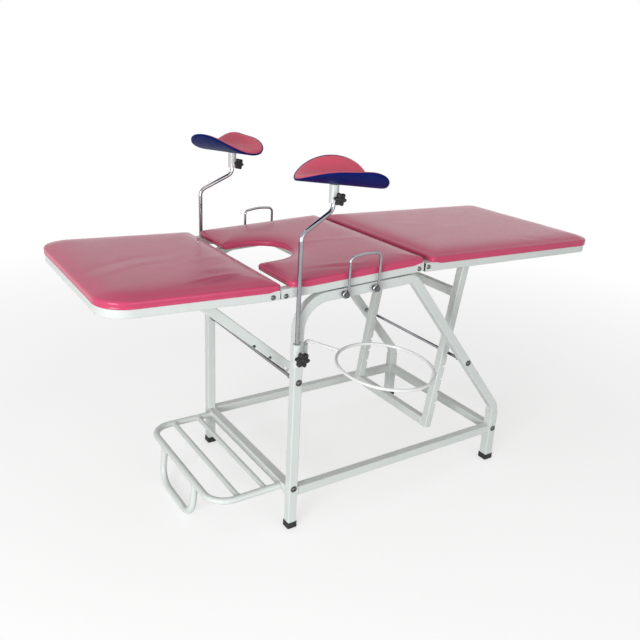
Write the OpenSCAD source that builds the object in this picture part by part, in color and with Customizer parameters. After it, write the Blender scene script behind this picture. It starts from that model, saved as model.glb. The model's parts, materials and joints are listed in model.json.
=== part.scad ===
// Gynaecological examination table in bent square tube: fixed seat section, folding leg and back
// sections on notched prop frames, knee rests on chrome rods, basin ring, hand grips and a step.
// X runs from the foot end to the head end, Y from the near side to the far side, Z up.

/* [Frame tube] */
// Outer width of the square tube
tube = 28; // [25:0.5:32]
// Wall of the square tube
tube_wall = 1.5; // [1:0.25:2]
// Outer corner radius of the square tube
tube_corner = 3; // [2:0.5:4]

/* [Table] */
// Width over the side frames
table_w = 600; // [570:5:640]
// Height of the seat rails at the front legs
seat_h = 773; // [750:1:800]
// Rise of the seat toward the back, in degrees
seat_tilt = 2.3; // [1.5:0.1:3]
// Distance from the front legs to the rear legs, front face to centre line
rear_leg_x = 842; // [800:2:880]
// Depth of the rubber feet's collars
foot_h = 22; // [18:1:28]
// Thickness of the packing between the seat rails and the side frames
packing = 3.5; // [2:0.5:6]

/* [Side frame bends] */
// Centre-line radius of the front bend
front_bend_r = 92; // [80:2:110]
// Centre-line radius of the rear top corner
top_bend_r = 42; // [40:1:60]
// Centre-line radius of the bend above the rear leg
low_bend_r = 60; // [50:2:70]
// Distance from the front legs' face to the rear top corner
top_corner_x = 406.7; // [395:1:420]
// Outer width of the rear leg tube that the bend plugs into
rear_leg_w = 32; // [31:0.5:36]
// Height of the rear leg tube's top
rear_leg_top = 192; // [180:1:205]
// Height of the lower rails' centre line
low_rail_z = 127; // [115:1:140]

/* [Seat section] */
// Distance from the front legs' face forward to the seat rails' ends
seat_front = 50; // [46:1:54]
// Width of the cut-out in the seat
cutout_w = 214; // [180:2:230]
// Distance from the front legs' face back to the cut-out's apex
cutout_end = 148; // [120:2:160]

/* [Leg section] */
// Distance from the leg pivot to the foot end
leg_len = 483; // [440:1:520]
// Raise of the foot end at rest, in degrees
leg_rest = 1.8; // [1:0.1:2.5]
// Plan radius of the leg frame's foot corners
leg_corner_r = 60; // [45:1:75]

/* [Back section] */
// Distance from the back pivot to the head end
back_len = 752; // [700:1:860]
// Fall of the head end at rest, in degrees
back_rest = 1.2; // [0.5:0.1:2]
// Plan radius of the back frame's head corners
back_corner_r = 40; // [36:1:60]

/* [Pads] */
// Thickness of the plywood boards
board_t = 9; // [6:0.5:12]
// Thickness of the foam and its cover at the edge
pad_t = 7; // [5:0.5:14]
// Extra height of a pad's middle
pad_crown = 13; // [6:0.5:18]
// Distance over which a pad rises from its edge to its middle
pad_crown_run = 65; // [40:1:90]
// Distance that the pads stand out past the side frames' outer faces
pad_overhang = 3; // [0:0.5:5]

/* [Catch rods] */
// Diameter of the catch rods
catch_d = 10; // [8:0.5:12]
// Height of the leg catch rod
leg_catch_z = 488; // [470:1:505]
// Distance from the front legs' face to the leg catch rod
leg_catch_x = 16; // [14:0.5:18]
// Distance from the front legs' face to the back catch rod
back_catch_x = 676; // [660:1:690]

/* [Prop frames] */
// Distance between the centre lines of a prop frame's arms
prop_gauge = 400; // [360:5:440]
// Distance from the leg pivot to the leg prop's pivot
leg_prop_reach = 230; // [210:1:250]
// Distance from the back pivot to the back prop's pivot
back_prop_reach = 251; // [240:1:262]
// Length of the back prop from its pivot to its bottom bar
back_prop_len = 600; // [560:2:610]
// Width of the notches in the prop arms
notch_w = 11.5; // [11:0.5:14]
// Depth of the notches
notch_depth = 9; // [7:0.5:11]
// Clearance between the leg prop's lower faces and its catch rod
leg_prop_gap = 0.5; // [0.4:0.1:2]
// Clearance between the back prop's faces and its catch rod
back_prop_gap = 4.8; // [4.4:0.1:8]

/* [Step] */
// Diameter of the step's round tube
step_tube_d = 21; // [18:0.5:25]
// Reach of the step in front of the front legs
step_reach = 222; // [190:2:250]
// Width between the step's side bars
step_w = 500; // [460:5:520]
// Height of the step's centre line
step_z = 130; // [120:1:145]
// Plan radius of the step's corners
step_corner_r = 65; // [45:1:80]
// Width between the loop leg's uprights
step_leg_w = 240; // [200:5:280]

/* [Hand grips] */
// Diameter of the grip rod
grip_d = 8; // [7:0.5:10]
// Distance from the front legs' face to a grip's first upright
grip_x = 158; // [140:2:170]
// Distance between a grip's uprights
grip_len = 104; // [90:2:120]
// Height of a grip above its eyes
grip_h = 104; // [90:1:140]

/* [Knee supports] */
// Diameter of the support rods
rod_d = 12; // [10:0.5:14]
// Height of the support rods' lower bend
rod_bend_z = 917; // [890:1:930]
// Rise between the rod's two bends
rod_rise = 53; // [40:1:65]
// Reach of the rod toward the back between its bends
rod_reach = 105; // [90:1:120]
// Distance that the rod leans inward over that reach
rod_inward = 17; // [10:1:24]
// Distance from the seat's height down to the rod sockets' top
socket_drop = 158; // [140:1:170]
// Length of the rod sockets
socket_len = 65; // [55:1:75]
// Length of the sleeves under the knee rests
rest_sleeve_len = 48; // [40:1:56]
// Outer diameter of those sleeves
rest_sleeve_d = 26; // [23:0.5:30]

/* [Knee rests] */
// Half length of a rest along its trough
rest_half_len = 127.2; // [95:1:160]
// Arc length from a rest's middle to the edge of its tall side
rest_tall_w = 130.3; // [80:1:180]
// Arc length from a rest's middle to the edge of its low side
rest_low_w = 100.4; // [70:1:140]
// Share by which the wing is longer than the oval plate
wing_share = 0.2; // [0:0.01:0.8]
// Direction of the wing in the plate, in degrees
wing_dir = -53.3; // [-80:1:40]
// Sharpness of the wing
wing_power = 11.4; // [1:0.5:14]
// Share cut away beside the wing
cut_share = 0.408; // [0:0.01:0.6]
// Direction of the cut in the plate, in degrees
cut_dir = 12.8; // [0:1:80]
// Half width of the cut, in degrees
cut_width = 31.6; // [8:1:40]
// Distance from the sleeve to the middle of the plate
rest_shift = 22.3; // [-30:1:45]
// Radius of the trough's cross-section
rest_trough_r = 131.5; // [70:1:260]
// Roll of the rests about their trough, in degrees
rest_roll = -2.1; // [-25:1:25]
// Thickness of the rest's shell
rest_shell_t = 3; // [2:0.25:4]
// Thickness of the rest's padding
rest_pad_t = 14; // [10:0.5:20]
// Turn of the near rest about its sleeve, in degrees
near_rest_turn = -21.1; // [-60:1:60]
// Tip of the near rest toward its wing, in degrees
near_rest_tip = 4.5; // [-10:1:20]
// Turn of the far rest about its sleeve, in degrees
far_rest_turn = 110.1; // [100:1:240]
// Tip of the far rest toward its wing, in degrees
far_rest_tip = 1.1; // [-10:1:20]

/* [Basin ring] */
// Mean radius of the ring
basin_r = 132; // [115:1:150]
// Diameter of the ring's wire
basin_wire = 8.5; // [7:0.5:10]
// Distance from the ring's pivot to its middle
basin_reach = 238.6; // [220:0.2:255]
// Turn of the ring's arm away from the +X direction, in degrees
basin_azimuth = -57.8; // [-75:0.2:-40]
// Droop of the ring toward its far side, in degrees
basin_droop = 5.5; // [3:0.1:8]
// Distance from the seat's height down to the ring's arm
basin_drop = 161; // [145:1:175]

/* [Hidden] */

$fn = 48;
// One overrun for every cut
over = 1;
// A bend reaches this far into the straight runs beside it
lap = 0.5;
// A bend's surfaces lie this far inside the runs' surfaces, so that they never coincide
bend_inset = 0.03;
// Radial clearance of pins, rods and screws in their holes
fit_gap = 0.1;
// Gap between faces that move past one another or only rest together
rest_gap = 0.3;

frame_white = [0.88, 0.91, 0.89];
chrome_grey = [0.7, 0.72, 0.74];
bolt_grey = [0.45, 0.46, 0.47];
pad_pink = [0.8, 0.24, 0.42];
shell_blue = [0.08, 0.12, 0.38];
rubber_black = [0.07, 0.07, 0.08];
board_brown = [0.62, 0.48, 0.33];

side_y = table_w/2 - tube/2;
seat_back_gap = 18;
back_pin_x = 454;
back_pin_z = 774;
back_rail_top = 12.6;
leg_pin_x = -35;
leg_pin_z = 752;
leg_rail_top = 18;
seat_rear = back_pin_x - seat_back_gap;
bolt_d = 8;
bolt_head_d = 14;
bolt_head_t = 5;
nut_t = 6;

// Height of a line at distance drop under the seat rails' top face
function seat_line(x, drop) = seat_h + x*tan(seat_tilt) - drop/cos(seat_tilt);
run_drop = 1.5*tube + packing;
diagonal_turn = -50.7;
top_corner_z = seat_line(top_corner_x, run_drop);
low_corner_z = top_corner_z + (rear_leg_x - top_corner_x)*tan(diagonal_turn);
back_catch_z = top_corner_z + (back_catch_x - top_corner_x)*tan(diagonal_turn);

// Sweep along a bent centre line in the XY plane: child 0 is the straight runs' profile, child 1
// the bends' profile
function lap_angle(r) = lap/r*180/PI;
function heading(a, b) = atan2(b.y - a.y, b.x - a.x);
function wrapped(t) = t > 180 ? t - 360 : t < -180 ? t + 360 : t;
function turn(a, b, c) = wrapped(heading(b, c) - heading(a, b));
function setback(a, b, c, r) = r*tan(abs(turn(a, b, c))/2);

module bent_run(points, radii) {
    last = len(points) - 1;
    for (i = [0:last - 1]) {
        a = points[i];
        b = points[i + 1];
        start = i == 0 ? 0 : setback(points[i - 1], a, b, radii[i - 1]);
        stop = norm(b - a) - (i == last - 1 ? 0 : setback(a, b, points[i + 2], radii[i]));
        translate(a) rotate([0, 0, heading(a, b)]) translate([start, 0, 0])
            rotate([90, 0, 90]) linear_extrude(stop - start) children(0);
    }
    for (i = [1:1:last - 1]) {
        t = turn(points[i - 1], points[i], points[i + 1]);
        r = radii[i - 1];
        back = setback(points[i - 1], points[i], points[i + 1], r);
        translate(points[i]) rotate([0, 0, heading(points[i - 1], points[i])]) translate([-back, 0, 0])
            rotate([t < 0 ? 180 : 0, 0, 0]) translate([0, r, 0]) rotate([0, 0, -90 - lap_angle(r)])
            rotate_extrude(angle = abs(t) + 2*lap_angle(r)) translate([r, 0]) children(1);
    }
}

// Square tube profile with rounded outer corners
module rounded_square(w, corner) {
    square([w, w - 2*corner], center = true);
    square([w - 2*corner, w], center = true);
    for (sx = [-1, 1], sy = [-1, 1]) translate([sx*(w/2 - corner), sy*(w/2 - corner)]) circle(corner);
}
module tube_profile(w = tube, wall = tube_wall, corner = tube_corner) {
    difference() {
        rounded_square(w, corner);
        square([w - 2*wall, w - 2*wall], center = true);
    }
}
module ring_profile(d, wall) {
    difference() {
        circle(d/2);
        circle(d/2 - wall);
    }
}
module bent_tube(points, radii) {
    bent_run(points, radii) {
        tube_profile();
        tube_profile(tube - 2*bend_inset, tube_wall - 2*bend_inset, tube_corner - bend_inset);
    }
}
module bent_pipe(points, radii, d, wall) {
    bent_run(points, radii) {
        ring_profile(d, wall);
        ring_profile(d - 2*bend_inset, wall - 2*bend_inset);
    }
}
module bent_rod(points, radii, d) {
    bent_run(points, radii) {
        circle(d/2);
        circle(d/2 - bend_inset);
    }
}
module straight_tube(a, b) { bent_run([a, b], []) tube_profile(); }

// Places
module in_side_plane(y) { translate([0, y, 0]) rotate([90, 0, 0]) children(); }
module on_seat() { translate([0, 0, seat_h]) rotate([0, -seat_tilt, 0]) children(); }
module on_leg() { translate([leg_pin_x, 0, leg_pin_z]) rotate([0, leg_rest, 0]) children(); }
module on_back() { translate([back_pin_x, 0, back_pin_z]) rotate([0, back_rest, 0]) children(); }
module both_sides() {
    children();
    mirror([0, 1, 0]) children();
}
// A rod, screw or bore along Y, from y0 to y1
module along_y(d, y0, y1) { translate([0, y0, 0]) rotate([-90, 0, 0]) cylinder(d = d, h = y1 - y0); }

// Side frames
module frame_tube(side) {
    front_x = tube/2;
    path = [[front_x, foot_floor], [front_x, seat_line(front_x, run_drop)], [top_corner_x, top_corner_z],
        [rear_leg_x, low_corner_z], [rear_leg_x, rear_leg_top - plug_len]];
    difference() {
        in_side_plane(side*side_y) bent_tube(path, [front_bend_r, top_bend_r, low_bend_r]);
        side_holes(side);
    }
}
foot_floor = 4;
plug_len = 2;
// Cross holes for the catch rods' bolts
module side_holes(side) {
    for (p = [[leg_catch_x, leg_catch_z], [back_catch_x, back_catch_z]])
        translate([p.x, side*side_y, p.y]) along_y(bolt_d + 2*fit_gap, -tube/2 - over, tube/2 + over);
    translate([tube/2, side*table_w/2, low_rail_z + front_bolt_rise])
        along_y(bolt_d + 2*fit_gap, -front_bolt_len - rest_gap, front_bolt_len + rest_gap);
}
module side_frame_near() { color(frame_white) frame_tube(-1); }
module side_frame_far() { color(frame_white) frame_tube(1); }

rear_leg_wall = 1.5;
module rear_leg(side) {
    color(frame_white) translate([rear_leg_x, side*side_y, foot_floor])
        difference() {
            linear_extrude(rear_leg_top - foot_floor) tube_profile(rear_leg_w, rear_leg_wall);
            translate([0, 0, low_rail_z - foot_floor])
                along_y(bolt_d + 2*fit_gap, -rear_leg_w/2 - over, rear_leg_w/2 + over);
        }
}
module rear_leg_near() { rear_leg(-1); }
module rear_leg_far() { rear_leg(1); }

module lower_rail(side) {
    color(frame_white) in_side_plane(side*side_y)
        straight_tube([tube, low_rail_z], [rear_leg_x - rear_leg_w/2, low_rail_z]);
}
module lower_rail_near() { lower_rail(-1); }
module lower_rail_far() { lower_rail(1); }

module cross_rail(x, z, half) {
    color(frame_white) translate([x, 0, z]) rotate([0, 0, 90]) straight_tube([-half, 0], [half, 0]);
}
module front_cross_rail() { cross_rail(tube/2, low_rail_z, side_y - tube/2); }
module rear_cross_rail() { cross_rail(rear_leg_x, low_rail_z, side_y - rear_leg_w/2); }

// Catch rods with tapped ends between the side frames
bolt_bite = 18;
module catch_rod(x, z) {
    half = side_y - tube/2;
    color(chrome_grey) translate([x, 0, z]) difference() {
        along_y(catch_d + catch_end_extra, -half, half);
        both_sides() along_y(bolt_d + 2*fit_gap, half - bolt_bite - rest_gap, half + over);
        difference() {
            along_y(catch_d + catch_end_extra + over, -half + catch_end_len, half - catch_end_len);
            along_y(catch_d, -half, half);
        }
    }
}
catch_end_extra = 4;
catch_end_len = 24;
module leg_catch_rod() { catch_rod(leg_catch_x, leg_catch_z); }
module back_catch_rod() { catch_rod(back_catch_x, back_catch_z); }

// Domed bolt whose head seats on y = 0, shank toward +Y
dome_share = 0.55;
module bolt(shank) {
    along_y(bolt_d, 0, shank);
    intersection() {
        translate([0, bolt_head_d*dome_share - bolt_head_t, 0]) sphere(d = 2*bolt_head_d*dome_share);
        along_y(bolt_head_d, -bolt_head_t, 0);
    }
}
module frame_bolts() {
    color(bolt_grey) both_sides() {
        for (p = [[leg_catch_x, leg_catch_z], [back_catch_x, back_catch_z]])
            translate([p.x, -table_w/2, p.y]) bolt(tube + bolt_bite);
        translate([rear_leg_x, -side_y - rear_leg_w/2, low_rail_z]) bolt(rear_leg_w - rest_gap);
        translate([tube/2, -table_w/2, low_rail_z + front_bolt_rise]) bolt(front_bolt_len);
    }
}
front_bolt_rise = 12;
front_bolt_len = 8;

// Rubber feet: caps over the tube ends
foot_wall = 2.5;
foot_sole = foot_floor;
module rubber_foot(w) {
    outer = w + 2*foot_wall;
    difference() {
        linear_extrude(foot_h) rounded_square(outer, tube_corner + foot_wall);
        translate([-w/2, -w/2, foot_sole]) cube([w, w, foot_h]);
    }
}
module rubber_feet() {
    color(rubber_black) both_sides() {
        translate([tube/2, -side_y, 0]) rubber_foot(tube);
        translate([rear_leg_x, -side_y, 0]) rubber_foot(rear_leg_w);
    }
}

// Seat section
module seat_rail_frame() {
    mid = -tube/2;
    color(frame_white) on_seat() difference() {
        union() {
            for (side = [-1, 1])
                in_side_plane(side*side_y) straight_tube([-seat_front, mid], [seat_rear, mid]);
            for (x = [seat_cross_front, seat_rear - seat_cross_inset])
                translate([x, 0, mid]) rotate([0, 0, 90])
                    straight_tube([-side_y + tube/2, 0], [side_y - tube/2, 0]);
        }
        both_sides() {
            for (p = [seat_local([leg_pin_x, leg_pin_z]), plate_bolt]) translate([p.x, -side_y, p.y])
                along_y(bolt_d + 2*fit_gap, -tube/2 - over, tube/2 + over);
        }
    }
}
seat_cross_front = 190;
seat_cross_inset = 54;
plate_bolt_inset = 18;
function seat_local(p) = [p.x*cos(seat_tilt) + (p.y - seat_h)*sin(seat_tilt),
    (p.y - seat_h)*cos(seat_tilt) - p.x*sin(seat_tilt)];
back_pin_local = seat_local([back_pin_x, back_pin_z]);
plate_bolt = [seat_rear - plate_bolt_inset, back_pin_local.y];

module seat_packing() {
    color(bolt_grey) on_seat() both_sides()
        for (x = [packing_first, packing_last])
            translate([x, -side_y - packing_w/2, -tube - packing]) cube([packing_len, packing_w, packing]);
}
packing_first = 112;
packing_last = 330;
packing_len = 40;
packing_w = 20;

// Plan outline of a board or pad: straight sides, rounded corners and an optional cut-out,
// moved inward by d. Corners go anticlockwise from the front near one.
corner_steps = 6;
least_r = 1;
function arc_points(c, r, a0, a1, n) =
    [for (i = [0:n]) let(a = a0 + (a1 - a0)*i/n) c + r*[cos(a), sin(a)]];
function plain_outline(x0, x1, half, r0, r1, d) =
    let(q0 = max(r0 - d, least_r), q1 = max(r1 - d, least_r))
    concat(
        arc_points([x0 + d + q0, -half + d + q0], q0, 180, 270, corner_steps),
        arc_points([x1 - d - q1, -half + d + q1], q1, 270, 360, corner_steps),
        arc_points([x1 - d - q1, half - d - q1], q1, 0, 90, corner_steps),
        arc_points([x0 + d + q0, half - d - q0], q0, 90, 180, corner_steps));
cutout_steps = 20;
function notched_outline(x0, x1, half, r0, r1, d) =
    let(q0 = max(r0 - d, least_r), q1 = max(r1 - d, least_r), c = cutout_w/2 + d, m = cutout_mouth_r)
    concat(
        arc_points([x0 + d + q0, -half + d + q0], q0, 180, 270, corner_steps),
        arc_points([x1 - d - q1, -half + d + q1], q1, 270, 360, corner_steps),
        arc_points([x1 - d - q1, half - d - q1], q1, 0, 90, corner_steps),
        arc_points([x0 + d + q0, half - d - q0], q0, 90, 180, corner_steps),
        arc_points([x0 + d + m, c + m], m, 180, 270, corner_steps),
        arc_points([cutout_end - cutout_w/2, 0], c, 90, -90, cutout_steps),
        arc_points([x0 + d + m, -c - m], m, 90, 180, corner_steps));
cutout_mouth_r = 14;

// Solid between stacked outlines of the same point count, each [outline, height]
function ring_faces(rows, n, cap) = concat(
    [for (f = cap) [for (i = f) i]],
    [for (k = [0:rows - 2], i = [0:n - 1]) let(j = (i + 1)%n) [k*n + i, (k + 1)*n + j, k*n + j]],
    [for (k = [0:rows - 2], i = [0:n - 1]) let(j = (i + 1)%n) [k*n + i, (k + 1)*n + i, (k + 1)*n + j]],
    [for (f = cap) [for (i = [len(f) - 1:-1:0]) (rows - 1)*n + f[i]]]);
// End caps: one face, or for an outline with a cut-out a strip of triangles between the outer
// points a and the inner points b
function whole_cap(n) = [[for (i = [0:n - 1]) i]];
function strip_cap(a, b) = let(na = len(a) - 1, total = len(a) + len(b) - 2)
    [for (s = [0:total - 1]) let(i = round(s*na/total), k = round((s + 1)*na/total), j = s - i)
        k > i ? [a[i], a[k], b[j]] : [a[i], b[j + 1], b[j]]];
module stacked(outlines, heights, cap) {
    n = len(outlines[0]);
    polyhedron([for (k = [0:len(outlines) - 1], p = outlines[k]) [p.x, p.y, heights[k]]],
        ring_faces(len(outlines), n, is_undef(cap) ? whole_cap(n) : cap));
}
notched_cap = strip_cap([for (i = [0:4*corner_steps + 3]) i],
    [for (i = [6*corner_steps + cutout_steps + 6:-1:4*corner_steps + 4]) i]);

// Edge of a pad as shares of its thickness: inset and height, from the board up and over
edge_shares = [[0.14, 0], [0.03, 0.16], [0, 0.42], [0.06, 0.68], [0.22, 0.88], [0.46, 0.98], [0.8, 1.03]];
// Crown of a pad: inset as a share of its run, height as a share of the crown
crown_shares = [[0.22, 0.39], [0.45, 0.7], [0.7, 0.91], [1, 1]];
pad_insets = concat([for (s = edge_shares) s.x*pad_t], [for (s = crown_shares) s.x*pad_crown_run]);
function pad_heights(low) = concat([for (s = edge_shares) low + s.y*pad_t],
    [for (s = crown_shares) low + pad_t + s.y*pad_crown]);

pad_half = table_w/2 + pad_overhang;
board_inset = 2.5;
pad_end_inset = 30;
seat_pad_back = 20;
seat_pad_x0 = pad_end_inset - seat_front;
seat_pad_x1 = back_pin_x - seat_pad_back;
seat_pad_r0 = 26;
seat_pad_r1 = 12;
module seat_board() {
    color(board_brown) on_seat() translate([0, 0, rest_gap]) linear_extrude(board_t)
        polygon(notched_outline(seat_pad_x0, seat_pad_x1, pad_half, seat_pad_r0, seat_pad_r1, board_inset));
}
seat_crown_share = 0.5;
module seat_pad() {
    color(pad_pink) on_seat()
        stacked([for (d = pad_insets)
                notched_outline(seat_pad_x0, seat_pad_x1, pad_half, seat_pad_r0, seat_pad_r1, d)],
            [for (k = [0:len(pad_insets) - 1]) k < len(edge_shares) ?
                board_t + 2*rest_gap + edge_shares[k].y*pad_t :
                board_t + 2*rest_gap + pad_t +
                crown_shares[k - len(edge_shares)].y*pad_crown*seat_crown_share],
            notched_cap);
}

// Hinges: flat plates inside the rails, pins through the rails
plate_t = 4;
plate_w = 20;
plate_y = table_w/2 - tube - rest_gap - plate_t;
module hinge_plate(a, b) {
    difference() {
        translate([0, plate_y, 0]) rotate([90, 0, 0]) mirror([0, 0, 1]) linear_extrude(plate_t) union() {
            for (p = [a, b]) translate(p) circle(plate_w/2);
            translate(a) rotate([0, 0, heading(a, b)]) translate([0, -plate_w/2])
                square([norm(b - a), plate_w]);
        }
        for (p = [a, b])
            translate([p.x, plate_y, p.y]) along_y(bolt_d + 2*fit_gap, -over, plate_t + over);
    }
}
pin_len = tube + 2*rest_gap + plate_t;
// Pin from the outer face of a rail through it and its plate, nut inside
module hinge_pin() {
    bolt(pin_len + nut_t);
    translate([0, pin_len + rest_gap, 0]) rotate([-90, 0, 0])
        cylinder(d = bolt_head_d, h = nut_t - rest_gap, $fn = 6);
}
module seat_hinge_pins() {
    color(bolt_grey) both_sides() {
        translate([leg_pin_x, -table_w/2 - rest_gap, leg_pin_z]) hinge_pin();
        translate([back_pin_x, -table_w/2 - rest_gap, back_pin_z]) hinge_pin();
        on_seat() translate([plate_bolt.x, -table_w/2, plate_bolt.y]) hinge_pin();
    }
}
module back_hinge_plates() {
    color(bolt_grey) on_seat() both_sides() mirror([0, 1, 0]) hinge_plate(plate_bolt, back_pin_local);
}

// Leg section
plate_reach = 39;
module leg_frame() {
    mid = leg_rail_top - tube/2;
    edge = side_y;
    end_x = tube/2 - leg_len;
    color(frame_white) on_leg() difference() {
        union() {
            translate([0, 0, mid])
                bent_tube([[-leg_rail_start, -edge], [end_x, -edge], [end_x, edge], [-leg_rail_start, edge]],
                    [leg_corner_r, leg_corner_r]);
            for (x = [-leg_cross_inset, -leg_prop_reach - lug_reach])
                translate([x, 0, mid]) rotate([0, 0, 90])
                    straight_tube([-edge + tube/2, 0], [edge - tube/2, 0]);
        }
        both_sides() translate([-plate_reach, -side_y, 0])
            along_y(bolt_d + 2*fit_gap, -tube/2 - over, tube/2 + over);
    }
}
leg_rail_start = 17.5;
leg_cross_inset = 84;
lug_reach = 34;
module leg_hinge_plates() {
    color(bolt_grey) on_leg() both_sides() {
        mirror([0, 1, 0]) hinge_plate([-plate_reach, 0], [0, 0]);
        translate([-plate_reach, -table_w/2, 0]) hinge_pin();
    }
}
leg_pad_x0 = -leg_len - pad_overhang;
leg_pad_x1 = -15;
leg_pad_r0 = leg_corner_r + tube/2 + pad_overhang;
leg_pad_r1 = 12;
module leg_board() {
    color(board_brown) on_leg() translate([0, 0, leg_rail_top + rest_gap]) linear_extrude(board_t)
        polygon(plain_outline(leg_pad_x0, leg_pad_x1, pad_half, leg_pad_r0, leg_pad_r1, board_inset));
}
leg_pad_low = leg_rail_top + board_t + 2*rest_gap;
module leg_pad() {
    color(pad_pink) on_leg()
        stacked([for (d = pad_insets)
                plain_outline(leg_pad_x0, leg_pad_x1, pad_half, leg_pad_r0, leg_pad_r1, d)],
            pad_heights(leg_pad_low));
}

// Prop frames. An arm's centre line passes the catch rod at half a tube, half a rod and the gap.
leg_prop_rise = 5;
back_prop_drop = 19;
leg_prop_pivot = [leg_pin_x - leg_prop_reach, leg_pin_z + leg_prop_rise];
back_prop_pivot = [back_pin_x + back_prop_reach, back_pin_z - back_prop_drop];
leg_catch_p = [leg_catch_x, leg_catch_z];
back_catch_p = [back_catch_x, back_catch_z];
leg_span = norm(leg_catch_p - leg_prop_pivot);
back_span = norm(back_catch_p - back_prop_pivot);
leg_arm_offset = tube/2 + catch_d/2 + leg_prop_gap;
back_arm_offset = tube/2 + catch_d/2 + back_prop_gap;
leg_arm_dir = heading(leg_prop_pivot, leg_catch_p) + asin(leg_arm_offset/leg_span);
back_arm_dir = heading(back_prop_pivot, back_catch_p) - asin(back_arm_offset/back_span);
leg_reach = sqrt(pow(leg_span, 2) - pow(leg_arm_offset, 2));
back_reach = sqrt(pow(back_span, 2) - pow(back_arm_offset, 2));
leg_prop_tail = 14;
pivot_rod_d = 10;
lug_t = 4;
prop_end = 9;

// Notches across an arm face, at distances from the pivot; side is +1 or -1 across the arm
module notches(places, side) {
    for (s = places)
        translate([s, side*(tube/2 - notch_depth + notch_w/2), -tube/2 - over])
            linear_extrude(tube + 2*over) {
                circle(notch_w/2);
                translate([-notch_w/2, side > 0 ? 0 : -notch_depth]) square([notch_w, notch_depth]);
            }
}
// A prop in its own plan: pivot on the Y axis at 0, arms along +X
module on_leg_prop() {
    translate([leg_prop_pivot.x, 0, leg_prop_pivot.y]) rotate([0, -leg_arm_dir, 0]) children();
}
module on_back_prop() {
    translate([back_prop_pivot.x, 0, back_prop_pivot.y]) rotate([0, -back_arm_dir, 0]) children();
}

leg_notch_pitch = 68;
leg_notch_count = 3;
back_notch_pitch = 46;
back_notch_count = 5;
module leg_prop() {
    half = prop_gauge/2;
    places = [for (i = [0:leg_notch_count - 1]) leg_reach - i*leg_notch_pitch];
    color(frame_white) on_leg_prop() difference() {
        union() {
            both_sides() in_side_plane(-half)
                difference() {
                    straight_tube([-prop_end, 0], [leg_reach + leg_prop_tail, 0]);
                    notches(places, -1);
                }
            translate([leg_prop_bar, 0, 0]) rotate([0, 0, 90])
                straight_tube([-half + tube/2, 0], [half - tube/2, 0]);
        }
        both_sides() translate([0, -half, 0]) along_y(pivot_rod_d + 2*fit_gap, -tube/2 - over, tube/2 + over);
    }
}
leg_prop_bar = 62;
module back_prop() {
    half = prop_gauge/2;
    places = [for (i = [0:back_notch_count - 1]) back_reach + i*back_notch_pitch];
    color(frame_white) on_back_prop() difference() {
        union() {
            both_sides() in_side_plane(-half) difference() {
                straight_tube([-prop_end, 0], [back_prop_len + tube/2, 0]);
                notches(places, 1);
            }
            for (x = [back_prop_bar, back_prop_len])
                translate([x, 0, 0]) rotate([0, 0, 90])
                    straight_tube([-half + tube/2, 0], [half - tube/2, 0]);
        }
        both_sides() translate([0, -half, 0]) along_y(pivot_rod_d + 2*fit_gap, -tube/2 - over, tube/2 + over);
    }
}
back_prop_bar = 128;

// Lugs inside the arms, with a pivot bolt through each arm. bar is the cross rail's middle, p the pivot.
module prop_lug(bar, p) {
    inner = prop_gauge/2 - tube/2 - rest_gap;
    root = bar.x - sign(bar.x - p.x)*tube/2;
    both_sides() {
        difference() {
            translate([0, -inner, 0]) rotate([90, 0, 0]) mirror([0, 0, 1]) linear_extrude(lug_t) union() {
                translate(p) circle(pivot_rod_d);
                translate([min(root, p.x), p.y - pivot_rod_d]) square([abs(root - p.x), 2*pivot_rod_d]);
                translate([root - (root > p.x ? lug_root : 0), min(p.y - pivot_rod_d, bar.y - tube/2)])
                    square([lug_root, max(p.y + pivot_rod_d, bar.y + tube/2)
                        - min(p.y - pivot_rod_d, bar.y - tube/2)]);
            }
            translate([p.x, -inner, p.y]) along_y(pivot_rod_d + 2*fit_gap, -over, lug_t + over);
        }
        translate([p.x, -prop_gauge/2 - tube/2 - rest_gap, p.y]) {
            along_y(pivot_rod_d, 0, tube + 2*rest_gap + lug_t + nut_t);
            along_y(bolt_head_d + catch_end_extra, -bolt_head_t, 0);
            translate([0, tube + 3*rest_gap + lug_t, 0]) rotate([-90, 0, 0])
                cylinder(d = bolt_head_d + catch_end_extra, h = nut_t - rest_gap, $fn = 6);
        }
    }
}
lug_root = 8;
function to_local(p, pin, a) = let(d = p - pin) [d.x*cos(a) - d.y*sin(a), d.x*sin(a) + d.y*cos(a)];
leg_pivot_local = to_local(leg_prop_pivot, [leg_pin_x, leg_pin_z], leg_rest);
back_pivot_local = to_local(back_prop_pivot, [back_pin_x, back_pin_z], back_rest);
module leg_prop_lugs() {
    color(frame_white) on_leg()
        prop_lug([-leg_prop_reach - lug_reach, leg_rail_top - tube/2], leg_pivot_local);
}
module back_prop_lugs() {
    color(frame_white) on_back()
        prop_lug([back_prop_reach + lug_reach, back_rail_top - tube/2], back_pivot_local);
}

// Back section
back_rail_start = 10;
back_cross_head = 560;
back_cross_foot = 60;
module back_frame() {
    mid = back_rail_top - tube/2;
    end_x = back_len - tube/2;
    color(frame_white) on_back() difference() {
        union() {
            translate([0, 0, mid])
                bent_tube([[-back_rail_start, -side_y], [end_x, -side_y], [end_x, side_y],
                    [-back_rail_start, side_y]],
                    [back_corner_r, back_corner_r]);
            for (x = [back_cross_foot, back_prop_reach + lug_reach, back_cross_head])
                translate([x, 0, mid]) rotate([0, 0, 90])
                    straight_tube([-side_y + tube/2, 0], [side_y - tube/2, 0]);
        }
        both_sides() translate([0, -side_y, 0]) along_y(bolt_d + 2*fit_gap, -tube/2 - over, tube/2 + over);
    }
}
back_pad_x0 = 13;
back_pad_head_overhang = 8;
back_pad_x1 = back_len + back_pad_head_overhang;
back_pad_r0 = 12;
back_pad_r1 = back_corner_r + tube/2 + back_pad_head_overhang;
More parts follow.
